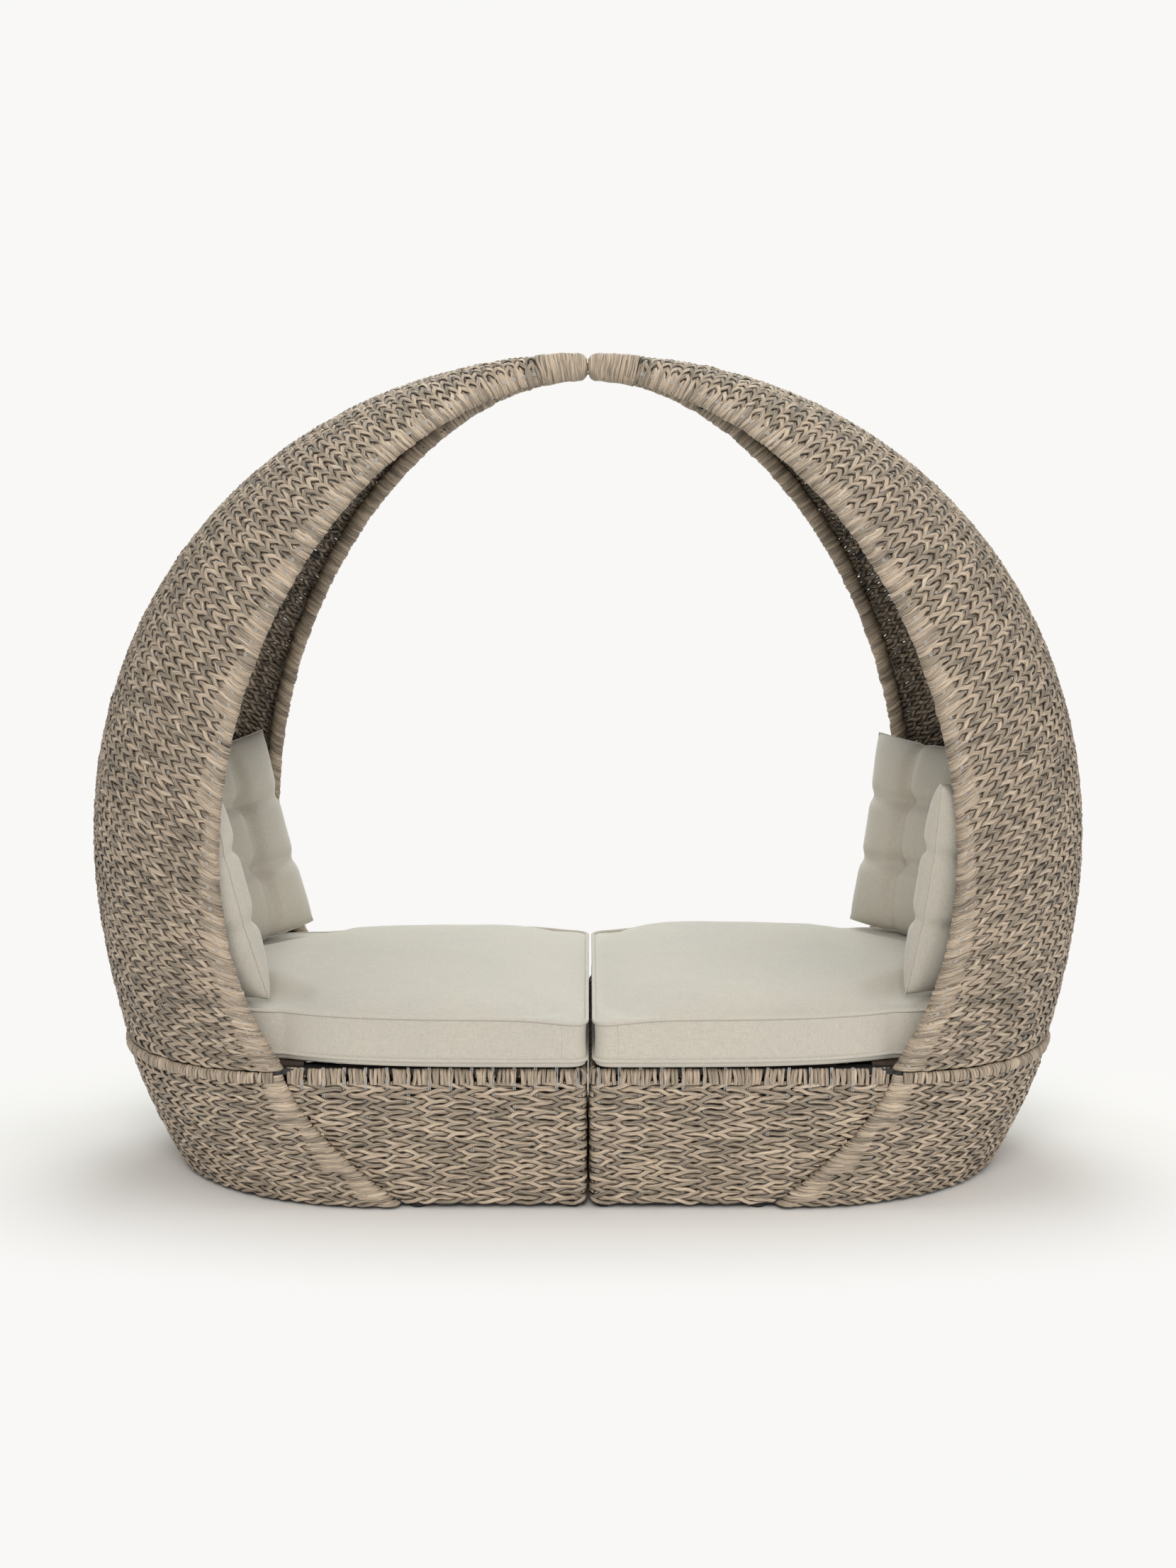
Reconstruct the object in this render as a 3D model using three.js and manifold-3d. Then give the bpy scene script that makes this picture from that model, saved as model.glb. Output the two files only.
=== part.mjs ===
import * as THREE from 'three';
import { mergeVertices } from 'three/addons/utils/BufferGeometryUtils.js';
import Module from 'manifold-3d';

// A wicker cocoon daybed in two mirrored halves that stand side by side. Each half has a woven base on a
// welded frame, a woven hood that curls over it to a tip, and loose cushions. Millimetres, +Z is up, +X runs
// along the bed and +Y towards its rear. Every piece is drawn for the half at +X, starting from the plane
// where its tip ends, and is mirrored for the other half.

const wasm = await Module();
wasm.setup();

// Clearances
const touchGap = 0.3; // between pieces that rest on or against each other
const halfGap = touchGap / 2; // from the middle plane to the end of each tip
const mergeGap = 0.0003; // points closer than this are one point
const weaveGap = 2; // between the edge of a woven skin and the wrapped tube beside it
const cutOverrun = 60; // how far a cutting block runs past the piece it cuts

// Hood, seen from the front: the spine is its outer ridge, the rims are the tubes along its open edge
const splitHeight = 300; // the hood stands on the base here
const spineReach = 1095;
const spineTop = 1784;
const spineMiddle = 710; // height of the widest place
const spineDrop = 1570; // half height of the curve that runs on below the widest place
const crownWidth = 322; // from the rim tubes to the spine, between their widest places
const tipRise = 36; // of the spine over the rim tubes at the tip
const rimMiddle = 729;
const rimDrop = 761;
const spineUpperPower = 2.06;
const spineLowerPower = 1.76;
const rimUpperPower = 1.87;
const rimLowerPower = 2.1;
const rimDepth = 427; // from the middle plane, front to rear, to each rim tube
const spreadRise = 6.5; // how soon the two rims part after the tip
const spreadPower = 3.6;
const tipShare = 0.06; // share of the arch that the wrapped tip takes
const tubeStartShare = 0.3; // of the wrapped tip, where the rim tubes start inside it
const boreReachShare = 1.02; // of a tube's length in the tip, to the end of the bore it sits in
const hoodRows = 15;
const hoodColumns = 12;

// Tubes, wraps and skins
const rimTubeRadius = 14;
const rimTubeBore = 11;
const wrapThickness = 4;
const weaveThickness = 8;
const ribRadius = 8;
const midRibRow = 6;
const lowRibRow = 10;
const ribGap = 1.1; // between a rib and the skin, which leans over it
const ribEndShare = 0.2; // of its first facet, where a rib ends short of the rim
const wrapSides = 8;
const tubeSides = 6;

// Base
const splitShadow = 5; // open line under the hood's lower edge
const footHeight = 10;
const weaveFloor = 8; // lower edge of the weave above the floor
const baseRimFoot = 420; // where the rim tube comes down to the feet
const baseSpineFoot = 924;
const baseRimPower = 1.6;
const baseSpinePower = 1.35;
const baseSetback = 3; // of the base's end panel behind the tip
const panelRecess = 8; // of the flat panels behind the wrapped rims
const borderHeight = 36;
const borderLip = 8; // of the border over the frame
const baseRows = 6;
const baseSteps = 6;

// Welded base frame, deck and hood rail
const railHeight = 12;
const railWidth = 40;
const hoodRailHeight = 8;
const hoodRailWidth = 20;
const cornerPost = 25;
const spinePostRadius = 10;
const spigotRadius = 6;
const spigotShare = 0.06; // share of the arch that a spigot reaches up into its rim tube
const spigotRootShare = 0.008;
const skinSag = 1; // room for the flat facets of a skin beside a rail
const slatCount = 7;
const slatWidth = 70;
const slatThickness = 8;
const lastSlatShare = 0.866; // how far the slats go on inside the round end
const battenWidth = 30;
const battenHeight = 9;
const battenSpacing = 180; // from the middle plane to each batten
const battenBite = 1; // of a batten into the slats
const deckClearance = 5;

// Bolts that hold the hood down, and feet
const boltRadius = 4;
const boltHeadRadius = 7;
const boltHeadHeight = 4;
const boltClearance = 0.4;
const boltTurn = THREE.MathUtils.degToRad(52); // of the outer bolts round the hood rail
const boltSides = 8;
const smallFootRadius = 14;
const wideFootRadius = 18;
const footChamfer = 2;
const wideFootPlace = 356; // from the end of the tip
const footSides = 8;

// Seat cushion
const seatThickness = 106; // to the upper piping
const seatPipingHeight = 6; // of the lower piping over the cushion's underside
const seatUnderInset = 12;
const seatCrown = 17;
const seatEndDepth = 458; // half depth at the open end
const seatNeckDepth = 390; // half depth where the cushion passes the hood's rims
const seatShellGap = 83; // from the cushion's far end to the spine at its widest place
const seatNeckInset = 376; // from the cushion's far end back to the rims
const seatEndSetback = 4;
const seatCornerRadius = 16;
const seatDrawIn = 4;
const seatNeckPower = 4;
const seatEdgePoints = 7;
const seatEndPoints = 14;
const seatCornerPoints = 3;

// Back cushions
const backWidth = 430;
const backHeight = 480;
const backThickness = 140;
const backSeam = 3; // thickness left at the sewn edge
const backDrawIn = 14; // of each side between its corners
const backTurn = THREE.MathUtils.degToRad(43); // of each cushion away from facing straight along the bed
const backCells = 12;
const tuftShare = 1 / 3; // place of the tufts, of the half width and half height
const creaseShare = 0.3; // depth of a crease, of the thickness
const dimpleShare = 0.5;
const creaseWidthShare = 0.13;
const backFootInset = 208; // from the seat cushion's far end to the middle of a back cushion's lower edge
const backFootY = 178;
// The loose cushions of the left half lie further out and lean back more than those of the right. The rise of
// their lower corners is a share of the seat's crown.
const leftBack = { shift: 15, lean: THREE.MathUtils.degToRad(12), riseShare: 0.39 };
const rightBack = { shift: -15, lean: THREE.MathUtils.degToRad(8), riseShare: 0.464 };

// Sizes that follow from these
const wrapRadius = rimTubeRadius + wrapThickness;
const rimReach = spineReach - crownWidth;
const seatReach = spineReach - seatShellGap;
const seatNeckPlace = seatReach - seatNeckInset;
const backFootX = seatReach - backFootInset;
const rimTop = spineTop - tipRise;
const tipDepth = rimTubeRadius + touchGap;
const sideDepth = rimDepth + wrapRadius; // outer face of the wrapped rims
const panelDepth = sideDepth - panelRecess;
const railDepth = panelDepth - weaveThickness - touchGap;
const railEnd = baseSetback + weaveThickness + touchGap;
const topRailBottom = splitHeight - touchGap - railHeight;
const bottomRailBottom = footHeight + touchGap;
const deckTop = splitHeight + slatThickness;
const seatBottom = deckTop + touchGap;
const rowShare = (1 - tipShare) / hoodRows;

// Arches

function archPlace(reach, top, middle, drop, upperPower, lowerPower) {
  const lastAngle = -Math.asin(((middle - splitHeight) / drop) ** (lowerPower / 2));
  return (share) => {
    const angle = THREE.MathUtils.lerp(Math.PI / 2, lastAngle, share);
    const power = 2 / (angle > 0 ? upperPower : lowerPower);
    const span = angle > 0 ? top - middle : drop;
    const rise = Math.sign(angle) * span * Math.abs(Math.sin(angle)) ** power;
    return new THREE.Vector3(reach * Math.abs(Math.cos(angle)) ** power, 0, middle + rise);
  };
}

const spinePlace = archPlace(spineReach, spineTop, spineMiddle, spineDrop, spineUpperPower, spineLowerPower);
const rimPlace = archPlace(rimReach, rimTop, rimMiddle, rimDrop, rimUpperPower, rimLowerPower);
const rimSplit = rimPlace(1).x;
const spineSplit = spinePlace(1).x;

function rimDepthAt(share) {
  const spread = (1 - Math.max(0, 1 - share) ** spreadRise) ** spreadPower;
  return tipDepth + (rimDepth - tipDepth) * spread;
}

function baseShare(height) {
  return 1 - (height - footHeight) / (splitHeight - footHeight);
}

function baseRimX(height) {
  const fall = Math.max(0, baseShare(height)) ** baseRimPower;
  return baseRimFoot + (rimSplit - baseRimFoot) * (1 - fall);
}

function baseSpineX(height) {
  const fall = Math.max(0, baseShare(height)) ** baseSpinePower;
  return baseSpineFoot + (spineSplit - baseSpineFoot) * (1 - fall);
}

// A section of the shell is half an ellipse from the front rim over the spine to the rear rim

function hoodSection(share) {
  const rim = rimPlace(share);
  const outward = spinePlace(share).sub(rim);
  const reach = outward.length();
  outward.normalize();
  const along = rimPlace(share + rowShare).sub(rimPlace(share - rowShare / 2)).normalize();
  return { rim, outward, reach, depth: rimDepthAt(share) + wrapRadius, along };
}

function baseSection(height) {
  const rim = new THREE.Vector3(baseRimX(height), 0, height);
  const outward = new THREE.Vector3(1, 0, 0);
  const reach = baseSpineX(height) - baseRimX(height);
  const below = new THREE.Vector3(baseRimX(height - weaveThickness), 0, height - weaveThickness);
  return { rim, outward, reach, depth: sideDepth, along: rim.clone().sub(below).normalize() };
}

function sectionPoint(section, angle, inset) {
  const out = (section.reach - inset) * Math.cos(angle);
  const point = section.rim.clone().addScaledVector(section.outward, out);
  point.y = (section.depth - inset) * Math.sin(angle);
  return point;
}

// How far out a piece of the section starts, to pass beside a wrapped rim tube that crosses it at a slant
function rimClearance(section, halfThickness) {
  const slant = section.outward.clone().cross(section.along).length();
  const lean = Math.abs(section.outward.dot(section.along));
  return (wrapRadius + weaveGap + halfThickness * lean) / slant;
}

// Angles at which the facets of a skin meet, so that a rib or rail beside it can bend at the same places
function skinAngles(section, inset) {
  const lastAngle = Math.acos(rimClearance(section, 0) / (section.reach - inset));
  const angles = [];
  for (let column = 0; column <= hoodColumns; column += 1) {
    angles.push(THREE.MathUtils.lerp(-lastAngle, lastAngle, column / hoodColumns));
  }
  return angles;
}

function skinRow(section, inset) {
  return skinAngles(section, inset).map((angle) => sectionPoint(section, angle, inset));
}

// Solids

class Route extends THREE.Curve {
  constructor(place, from, to) {
    super();
    this.place = place;
    this.from = from;
    this.to = to;
  }

  getPoint(share, target = new THREE.Vector3()) {
    return target.copy(this.place(THREE.MathUtils.lerp(this.from, this.to, share)));
  }

  getUtoTmapping(share) {
    return share;
  }
}

function circlePoints(radius, sides) {
  const points = [];
  for (let side = 0; side < sides; side += 1) {
    const angle = (2 * Math.PI * side) / sides;
    points.push(new THREE.Vector2(radius * Math.cos(angle), radius * Math.sin(angle)));
  }
  return points;
}

function tube(route, steps, radius, sides, bore = 0) {
  const shape = new THREE.Shape(circlePoints(radius, sides));
  if (bore > 0) shape.holes.push(new THREE.Path(circlePoints(bore, tubeSides)));
  return new THREE.ExtrudeGeometry(shape, { steps, extrudePath: route, bevelEnabled: false });
}

function slab(shape, bottom, height) {
  const geometry = new THREE.ExtrudeGeometry(shape, { depth: height, bevelEnabled: false });
  return geometry.translate(0, 0, bottom);
}

function block(low, high) {
  const size = high.clone().sub(low);
  const middle = low.clone().add(high).divideScalar(2);
  return new THREE.BoxGeometry(size.x, size.y, size.z).translate(middle.x, middle.y, middle.z);
}

function indexed(points, index) {
  const geometry = new THREE.BufferGeometry();
  const places = points.flatMap((point) => point.toArray());
  geometry.setAttribute('position', new THREE.Float32BufferAttribute(places, 3));
  geometry.setIndex(index);
  return geometry;
}

// A closed body between two grids of points, the outer one seen with its rows running down
function gridSolid(outer, inner) {
  const lastRow = outer.length - 1;
  const lastColumn = outer[0].length - 1;
  const layer = outer.length * outer[0].length;
  const near = (row, column) => row * outer[0].length + column;
  const far = (row, column) => layer + near(row, column);
  const index = [];
  const quad = (a, b, c, d) => index.push(a, b, c, a, c, d);
  for (let row = 0; row < lastRow; row += 1) {
    for (let column = 0; column < lastColumn; column += 1) {
      quad(near(row, column), near(row + 1, column), near(row + 1, column + 1), near(row, column + 1));
      quad(far(row, column), far(row, column + 1), far(row + 1, column + 1), far(row + 1, column));
    }
    quad(near(row + 1, 0), near(row, 0), far(row, 0), far(row + 1, 0));
    quad(near(row, lastColumn), near(row + 1, lastColumn), far(row + 1, lastColumn), far(row, lastColumn));
  }
  for (let column = 0; column < lastColumn; column += 1) {
    quad(near(0, column), near(0, column + 1), far(0, column + 1), far(0, column));
    quad(near(lastRow, column + 1), near(lastRow, column), far(lastRow, column), far(lastRow, column + 1));
  }
  return indexed([...outer.flat(), ...inner.flat()], index);
}

// A closed body through rings of points, each ring counter-clockwise seen against the way they follow on
function ringSolid(rings, firstCentre, lastCentre) {
  const count = rings[0].length;
  const centre = rings.length * count;
  const lastRing = (rings.length - 1) * count;
  const index = [];
  for (let place = 0; place < count; place += 1) {
    const next = (place + 1) % count;
    for (let ring = 0; ring < lastRing; ring += count) {
      index.push(ring + place, ring + next, ring + count + next);
      index.push(ring + place, ring + count + next, ring + count + place);
    }
    index.push(centre, next, place);
    index.push(centre + 1, lastRing + place, lastRing + next);
  }
  return indexed([...rings.flat(), firstCentre, lastCentre], index);
}

function plain(geometry) {
  const bare = geometry.clone();
  bare.deleteAttribute('normal');
  bare.deleteAttribute('uv');
  return mergeVertices(bare, mergeGap);
}

function toSolid(geometry) {
  const bare = plain(geometry);
  const vertProperties = new Float32Array(bare.attributes.position.array);
  const triVerts = new Uint32Array(bare.index.array);
  return new wasm.Manifold(new wasm.Mesh({ numProp: 3, vertProperties, triVerts }));
}

function toGeometry(solid) {
  const mesh = solid.getMesh();
  const geometry = new THREE.BufferGeometry();
  geometry.setAttribute('position', new THREE.BufferAttribute(new Float32Array(mesh.vertProperties), 3));
  geometry.setIndex(new THREE.BufferAttribute(new Uint32Array(mesh.triVerts), 1));
  return geometry;
}

function joined(geometries) {
  return toGeometry(geometries.map(toSolid).reduce((all, solid) => all.add(solid)));
}

function cut(geometry, cutters) {
  return toGeometry(cutters.map(toSolid).reduce((all, solid) => all.subtract(solid), toSolid(geometry)));
}

// Cutting blocks wide enough for the whole half

const wide = spineReach + cutOverrun;

function blockBelow(height) {
  const low = new THREE.Vector3(-wide, -wide, height - wide);
  return block(low, new THREE.Vector3(wide, wide, height));
}

function blockAbove(height) {
  const high = new THREE.Vector3(wide, wide, height + wide);
  return block(new THREE.Vector3(-wide, -wide, height), high);
}

// Everything on the tip's side of the section where the wrapped tip ends
function blockAtTip() {
  const { rim, outward } = hoodSection(tipShare);
  const across = new THREE.Vector3(0, 1, 0);
  const towardsTip = outward.clone().cross(across);
  const geometry = new THREE.BoxGeometry(wide, wide, wide).translate(0, 0, wide / 2);
  const turn = new THREE.Matrix4().makeBasis(outward, across, towardsTip);
  return geometry.applyMatrix4(turn).translate(rim.x, rim.y, rim.z);
}

// Hood

// It bends where the skin does, and starts inside the wrapped tip
function rimRoute(side, tipReachShare = 1) {
  const onRim = (share) => rimPlace(share).setY(side * rimDepthAt(share));
  const start = onRim(tubeStartShare * tipShare);
  const place = (share) => {
    const inTip = (tipShare - share) / rowShare;
    return inTip > 0 ? onRim(tipShare).lerp(start, inTip * tipReachShare) : onRim(share);
  };
  return new Route(place, tipShare - rowShare, 1 + rowShare);
}

function rimTube(side) {
  const pipe = tube(rimRoute(side), hoodRows + 2, rimTubeRadius, tubeSides, rimTubeBore);
  return cut(pipe, [blockBelow(splitHeight)]);
}

function rimWrap(side) {
  const sleeve = tube(rimRoute(side), hoodRows + 2, wrapRadius, wrapSides, rimTubeRadius + touchGap);
  return cut(sleeve, [blockBelow(splitHeight), blockAtTip()]);
}

function tipWrap() {
  const roundingShares = [[0, 0.72], [0.08, 0.92], [0.25, 1], [1, 1]];
  const rings = roundingShares.map(([place, size]) => {
    const { rim, outward, reach, depth } = hoodSection(place * tipShare);
    const middle = rim.clone().addScaledVector(outward, (reach - wrapRadius) / 2);
    const ring = [];
    for (let side = 0; side < 2 * wrapSides; side += 1) {
      const angle = (Math.PI * side) / wrapSides;
      const out = (size * (reach + wrapRadius) * Math.cos(angle)) / 2;
      const point = middle.clone().addScaledVector(outward, out);
      point.y = -size * depth * Math.sin(angle);
      ring.push(point);
    }
    return { ring, middle };
  });
  const { outward } = hoodSection(tipShare);
  const back = outward.clone().cross(new THREE.Vector3(0, 1, 0)).multiplyScalar(touchGap);
  const last = rings[rings.length - 1];
  [...last.ring, last.middle].forEach((point) => point.add(back));
  const body = ringSolid(rings.map(({ ring }) => ring), rings[0].middle, last.middle);
  const bores = [-1, 1].map((side) => {
    return tube(rimRoute(side, boreReachShare), hoodRows + 2, rimTubeRadius + touchGap, tubeSides);
  });
  return cut(body, bores);
}

function hoodWeave() {
  const outer = [];
  const inner = [];
  for (let row = 0; row <= hoodRows; row += 1) {
    const section = hoodSection(tipShare + row * rowShare);
    outer.push(skinRow(section, 0));
    inner.push(skinRow(section, weaveThickness));
  }
  return gridSolid(outer, inner);
}

function hoodRib(row) {
  const section = hoodSection(tipShare + row * rowShare);
  const inset = weaveThickness + ribGap + ribRadius;
  const points = skinAngles(section, weaveThickness).map((angle) => sectionPoint(section, angle, inset));
  points[0].lerp(points[1], ribEndShare);
  points[hoodColumns].lerp(points[hoodColumns - 1], ribEndShare);
  const place = (column) => {
    const before = Math.min(Math.floor(column), hoodColumns - 1);
    return points[before].clone().lerp(points[before + 1], column - before);
  };
  return tube(new Route(place, 0, hoodColumns), hoodColumns, ribRadius, tubeSides);
}

function boltPlaces() {
  const reach = hoodRailReach() - hoodRailWidth / 2;
  const depth = railDepth - hoodRailWidth / 2;
  return [-boltTurn, 0, boltTurn].map((angle) => {
    return new THREE.Vector2(rimSplit + reach * Math.cos(angle), depth * Math.sin(angle));
  });
}

function boltHoles() {
  const radius = boltRadius + boltClearance;
  return boltPlaces().map(({ x, y }) => {
    const geometry = new THREE.CylinderGeometry(radius, radius, 2 * cutOverrun, boltSides);
    return geometry.rotateX(Math.PI / 2).translate(x, y, splitHeight);
  });
}

function hoodRailReach() {
  return baseSection(topRailBottom).reach - weaveThickness - touchGap - skinSag;
}

// The rail is half an ellipse of flat bar that stops short of both rims
function hoodRail() {
  const section = hoodSection(1);
  const start = rimClearance(section, hoodRailHeight);
  const arc = (inset) => skinAngles(section, weaveThickness).map((angle) => {
    const out = Math.max(start, (hoodRailReach() - inset) * Math.cos(angle));
    return new THREE.Vector2(rimSplit + out, (railDepth - inset) * Math.sin(angle));
  });
  const shape = new THREE.Shape([...arc(0), ...arc(hoodRailWidth).reverse()]);
  return cut(slab(shape, splitHeight, hoodRailHeight), boltHoles());
}

function hoodBolt(place) {
  const top = splitHeight + hoodRailHeight - touchGap;
  const bottom = topRailBottom - touchGap - boltHeadHeight;
  const profile = [
    new THREE.Vector2(0, bottom),
    new THREE.Vector2(boltHeadRadius, bottom),
    new THREE.Vector2(boltHeadRadius, bottom + boltHeadHeight),
    new THREE.Vector2(boltRadius, bottom + boltHeadHeight),
    new THREE.Vector2(boltRadius, top),
    new THREE.Vector2(0, top),
  ];
  return new THREE.LatheGeometry(profile, boltSides).rotateX(Math.PI / 2).translate(place.x, place.y, 0);
}

// Base

function planShape(height, inset) {
  const section = baseSection(height);
  const reach = section.reach - weaveThickness - touchGap - skinSag - inset;
  const depth = railDepth - inset;
  const arc = skinAngles(section, weaveThickness).map((angle) => {
    return new THREE.Vector2(section.rim.x + reach * Math.cos(angle), depth * Math.sin(angle));
  });
  const end = railEnd + inset;
  return new THREE.Shape([new THREE.Vector2(end, -depth), ...arc, new THREE.Vector2(end, depth)]);
}

function railRing(bottom, spare = 0) {
  const shape = planShape(bottom, -spare);
  shape.holes.push(planShape(bottom, railWidth + spare));
  return slab(shape, bottom - spare, railHeight + 2 * spare);
}

function baseRimRoute(side) {
  const place = (height) => new THREE.Vector3(baseRimX(height), side * rimDepth, height);
  return new Route(place, splitHeight + railHeight, footHeight - railHeight);
}

function spigot(side) {
  const place = (share) => rimPlace(share).setY(side * rimDepthAt(share));
  return tube(new Route(place, 1 - spigotShare, 1 + spigotRootShare), 2, spigotRadius, tubeSides);
}

function cornerPosts() {
  return [-1, 1].map((side) => {
    const ends = [side * railDepth, side * (railDepth - cornerPost)];
    const low = new THREE.Vector3(railEnd, Math.min(...ends), bottomRailBottom);
    const high = new THREE.Vector3(railEnd + cornerPost, Math.max(...ends), topRailBottom + railHeight);
    return block(low, high);
  });
}

function spinePost() {
  const inset = weaveThickness + touchGap + skinSag + railWidth - spinePostRadius;
  const place = (height) => new THREE.Vector3(baseSpineX(height) - inset, 0, height);
  const route = new Route(place, topRailBottom + railHeight / 2, bottomRailBottom + railHeight / 2);
  return tube(route, baseSteps / 2, spinePostRadius, tubeSides);
}

function baseFrame() {
  const top = topRailBottom + railHeight;
  const rims = [-1, 1].map((side) => {
    const rod = tube(baseRimRoute(side), baseSteps, rimTubeRadius, tubeSides);
    return cut(rod, [blockAbove(top), blockBelow(bottomRailBottom)]);
  });
  const spigots = [-1, 1].map(spigot);
  const rings = [railRing(topRailBottom), railRing(bottomRailBottom)];
  return cut(joined([...rings, ...rims, ...spigots, ...cornerPosts(), spinePost()]), boltHoles());
}

function baseRimWrap(side) {
  const sleeve = tube(baseRimRoute(side), baseSteps, wrapRadius, wrapSides, rimTubeRadius + touchGap);
  const rings = [railRing(topRailBottom, touchGap), railRing(bottomRailBottom, touchGap)];
  return cut(sleeve, [blockAbove(splitHeight - splitShadow), blockBelow(weaveFloor), ...rings]);
}

function baseWeave() {
  const outer = [];
  const inner = [];
  for (let row = 0; row <= baseRows; row += 1) {
    const section = baseSection(THREE.MathUtils.lerp(splitHeight - splitShadow, weaveFloor, row / baseRows));
    outer.push(skinRow(section, 0));
    inner.push(skinRow(section, weaveThickness));
  }
  return gridSolid(outer, inner);
}

// The curved edge of a flat panel keeps beside the wrapped rim tube
function panelEdge(bottom, top) {
  const points = [];
  for (let step = 0; step <= baseSteps; step += 1) {
    const height = THREE.MathUtils.lerp(bottom, top, step / baseSteps);
    const { along } = baseSection(height);
    points.push(new THREE.Vector2(baseRimX(height) - (wrapRadius + weaveGap) / along.z, height));
  }
  return points;
}

const borderBottom = splitHeight + borderLip - borderHeight;

function sidePanel(side) {
  const top = borderBottom - touchGap;
  const start = [new THREE.Vector2(baseSetback, top), new THREE.Vector2(baseSetback, weaveFloor)];
  const shape = new THREE.Shape([...start, ...panelEdge(weaveFloor, top)]);
  const front = side > 0 ? panelDepth : weaveThickness - panelDepth;
  return slab(shape, -front, weaveThickness).rotateX(Math.PI / 2);
}

function endPanel() {
  const depth = panelDepth - weaveThickness - touchGap;
  const low = new THREE.Vector3(baseSetback, -depth, weaveFloor);
  return block(low, new THREE.Vector3(baseSetback + weaveThickness, depth, borderBottom - touchGap));
}

// The wrapped border runs round the open end in a U, outside the frame
function topBorder() {
  const reach = panelEdge(borderBottom, splitHeight)[0].x;
  const outline = (inset, end) => [
    new THREE.Vector2(end, -panelDepth + inset),
    new THREE.Vector2(baseSetback + inset, -panelDepth + inset),
    new THREE.Vector2(baseSetback + inset, panelDepth - inset),
    new THREE.Vector2(end, panelDepth - inset),
  ];
  const shape = new THREE.Shape([...outline(0, reach), ...outline(weaveThickness, reach).reverse()]);
  return slab(shape, borderBottom, borderHeight);
}

function seatDeck() {
  const rimClear = rimDepth - wrapRadius - deckClearance;
  const endReach = hoodRailReach() - hoodRailWidth - deckClearance;
  const endDepth = railDepth - hoodRailWidth - deckClearance;
  const pitch = (rimSplit + lastSlatShare * endReach - slatWidth - railEnd) / (slatCount - 1);
  const slats = [];
  for (let slat = 0; slat < slatCount; slat += 1) {
    const left = railEnd + slat * pitch;
    const past = Math.max(0, left + slatWidth - rimSplit) / endReach;
    const half = Math.min(rimClear, endDepth * Math.sqrt(1 - past ** 2));
    const low = new THREE.Vector3(left, -half, splitHeight);
    slats.push(block(low, new THREE.Vector3(left + slatWidth, half, deckTop)));
  }
  const ringReach = hoodRailReach() - railWidth - deckClearance;
  const ringShare = (battenSpacing + battenWidth) / (railDepth - railWidth);
  const battenEnd = rimSplit + ringReach * Math.sqrt(1 - ringShare ** 2);
  const battens = [-1, 1].map((side) => {
    const start = railEnd + railWidth + deckClearance;
    const middle = side * battenSpacing;
    const top = splitHeight + battenBite;
    const low = new THREE.Vector3(start, middle - battenWidth / 2, top - battenHeight);
    return block(low, new THREE.Vector3(battenEnd, middle + battenWidth / 2, top));
  });
  return joined([...slats, ...battens]);
}

function foot(radius, place) {
  const profile = [
    new THREE.Vector2(0, 0),
    new THREE.Vector2(radius - footChamfer, 0),
    new THREE.Vector2(radius, footChamfer),
    new THREE.Vector2(radius, footHeight),
    new THREE.Vector2(0, footHeight),
  ];
  return new THREE.LatheGeometry(profile, footSides).rotateX(Math.PI / 2).translate(place.x, place.y, 0);
}

// Cushions

// Plan outline of the seat cushion: the open end is square, the far end is round and passes inside the hood
function seatOutline() {
  const half = [];
  const start = halfGap + seatEndSetback;
  for (let point = 0; point <= seatCornerPoints; point += 1) {
    const angle = (Math.PI / 2) * (point / seatCornerPoints);
    const x = start + seatCornerRadius * (1 - Math.cos(angle));
    half.push(new THREE.Vector2(x, seatEndDepth - seatCornerRadius * (1 - Math.sin(angle))));
  }
  for (let point = 1; point <= seatEdgePoints; point += 1) {
    const share = point / seatEdgePoints;
    const x = THREE.MathUtils.lerp(start + seatCornerRadius, seatNeckPlace, share);
    half.push(new THREE.Vector2(x, seatEndDepth - (seatEndDepth - seatNeckDepth) * share ** seatNeckPower));
  }
  const steps = seatEndPoints / 2;
  for (let point = 1; point < steps; point += 1) {
    const angle = (Math.PI / 2) * (1 - point / steps);
    const x = seatNeckPlace + (seatReach - seatNeckPlace) * Math.cos(angle);
    half.push(new THREE.Vector2(x, seatNeckDepth * Math.sin(angle)));
  }
  const front = half.map(({ x, y }) => new THREE.Vector2(x, -y));
  return [...front, new THREE.Vector2(seatReach, 0), ...half.reverse()];
}

function seatCushion() {
  const outline = seatOutline();
  const middle = new THREE.Vector2((seatReach + seatEndSetback) / 2, 0);
  const ringAt = (inset, height) => outline.map((point) => {
    const offset = point.clone().sub(middle);
    const place = middle.clone().addScaledVector(offset, 1 - inset / offset.length());
    return new THREE.Vector3(place.x, place.y, seatBottom + height);
  });
  const crownShares = [[0.12, 0.35], [0.35, 0.7], [0.65, 0.93]];
  const crown = crownShares.map(([inwards, rise]) => {
    return ringAt(inwards * seatNeckDepth, seatThickness + rise * seatCrown);
  });
  const rings = [
    ringAt(seatUnderInset, 0),
    ringAt(0, seatPipingHeight),
    ringAt(seatDrawIn, (seatPipingHeight + seatThickness) / 2),
    ringAt(0, seatThickness),
    ...crown,
  ];
  const under = new THREE.Vector3(middle.x, 0, seatBottom);
  return ringSolid(rings, under, new THREE.Vector3(middle.x, 0, seatBottom + seatThickness + seatCrown));
}

// How thick a back cushion is at a place given in shares of its half width and half height
function backShare(across, up) {
  const dome = ((1 - across ** 4) * (1 - up ** 4)) ** 0.5;
  const near = (share) => Math.exp(-(((Math.abs(share) - tuftShare) / creaseWidthShare) ** 2));
  const crease = creaseShare * Math.max(near(across), near(up));
  return dome * (1 - crease - dimpleShare * near(across) * near(up));
}

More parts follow.
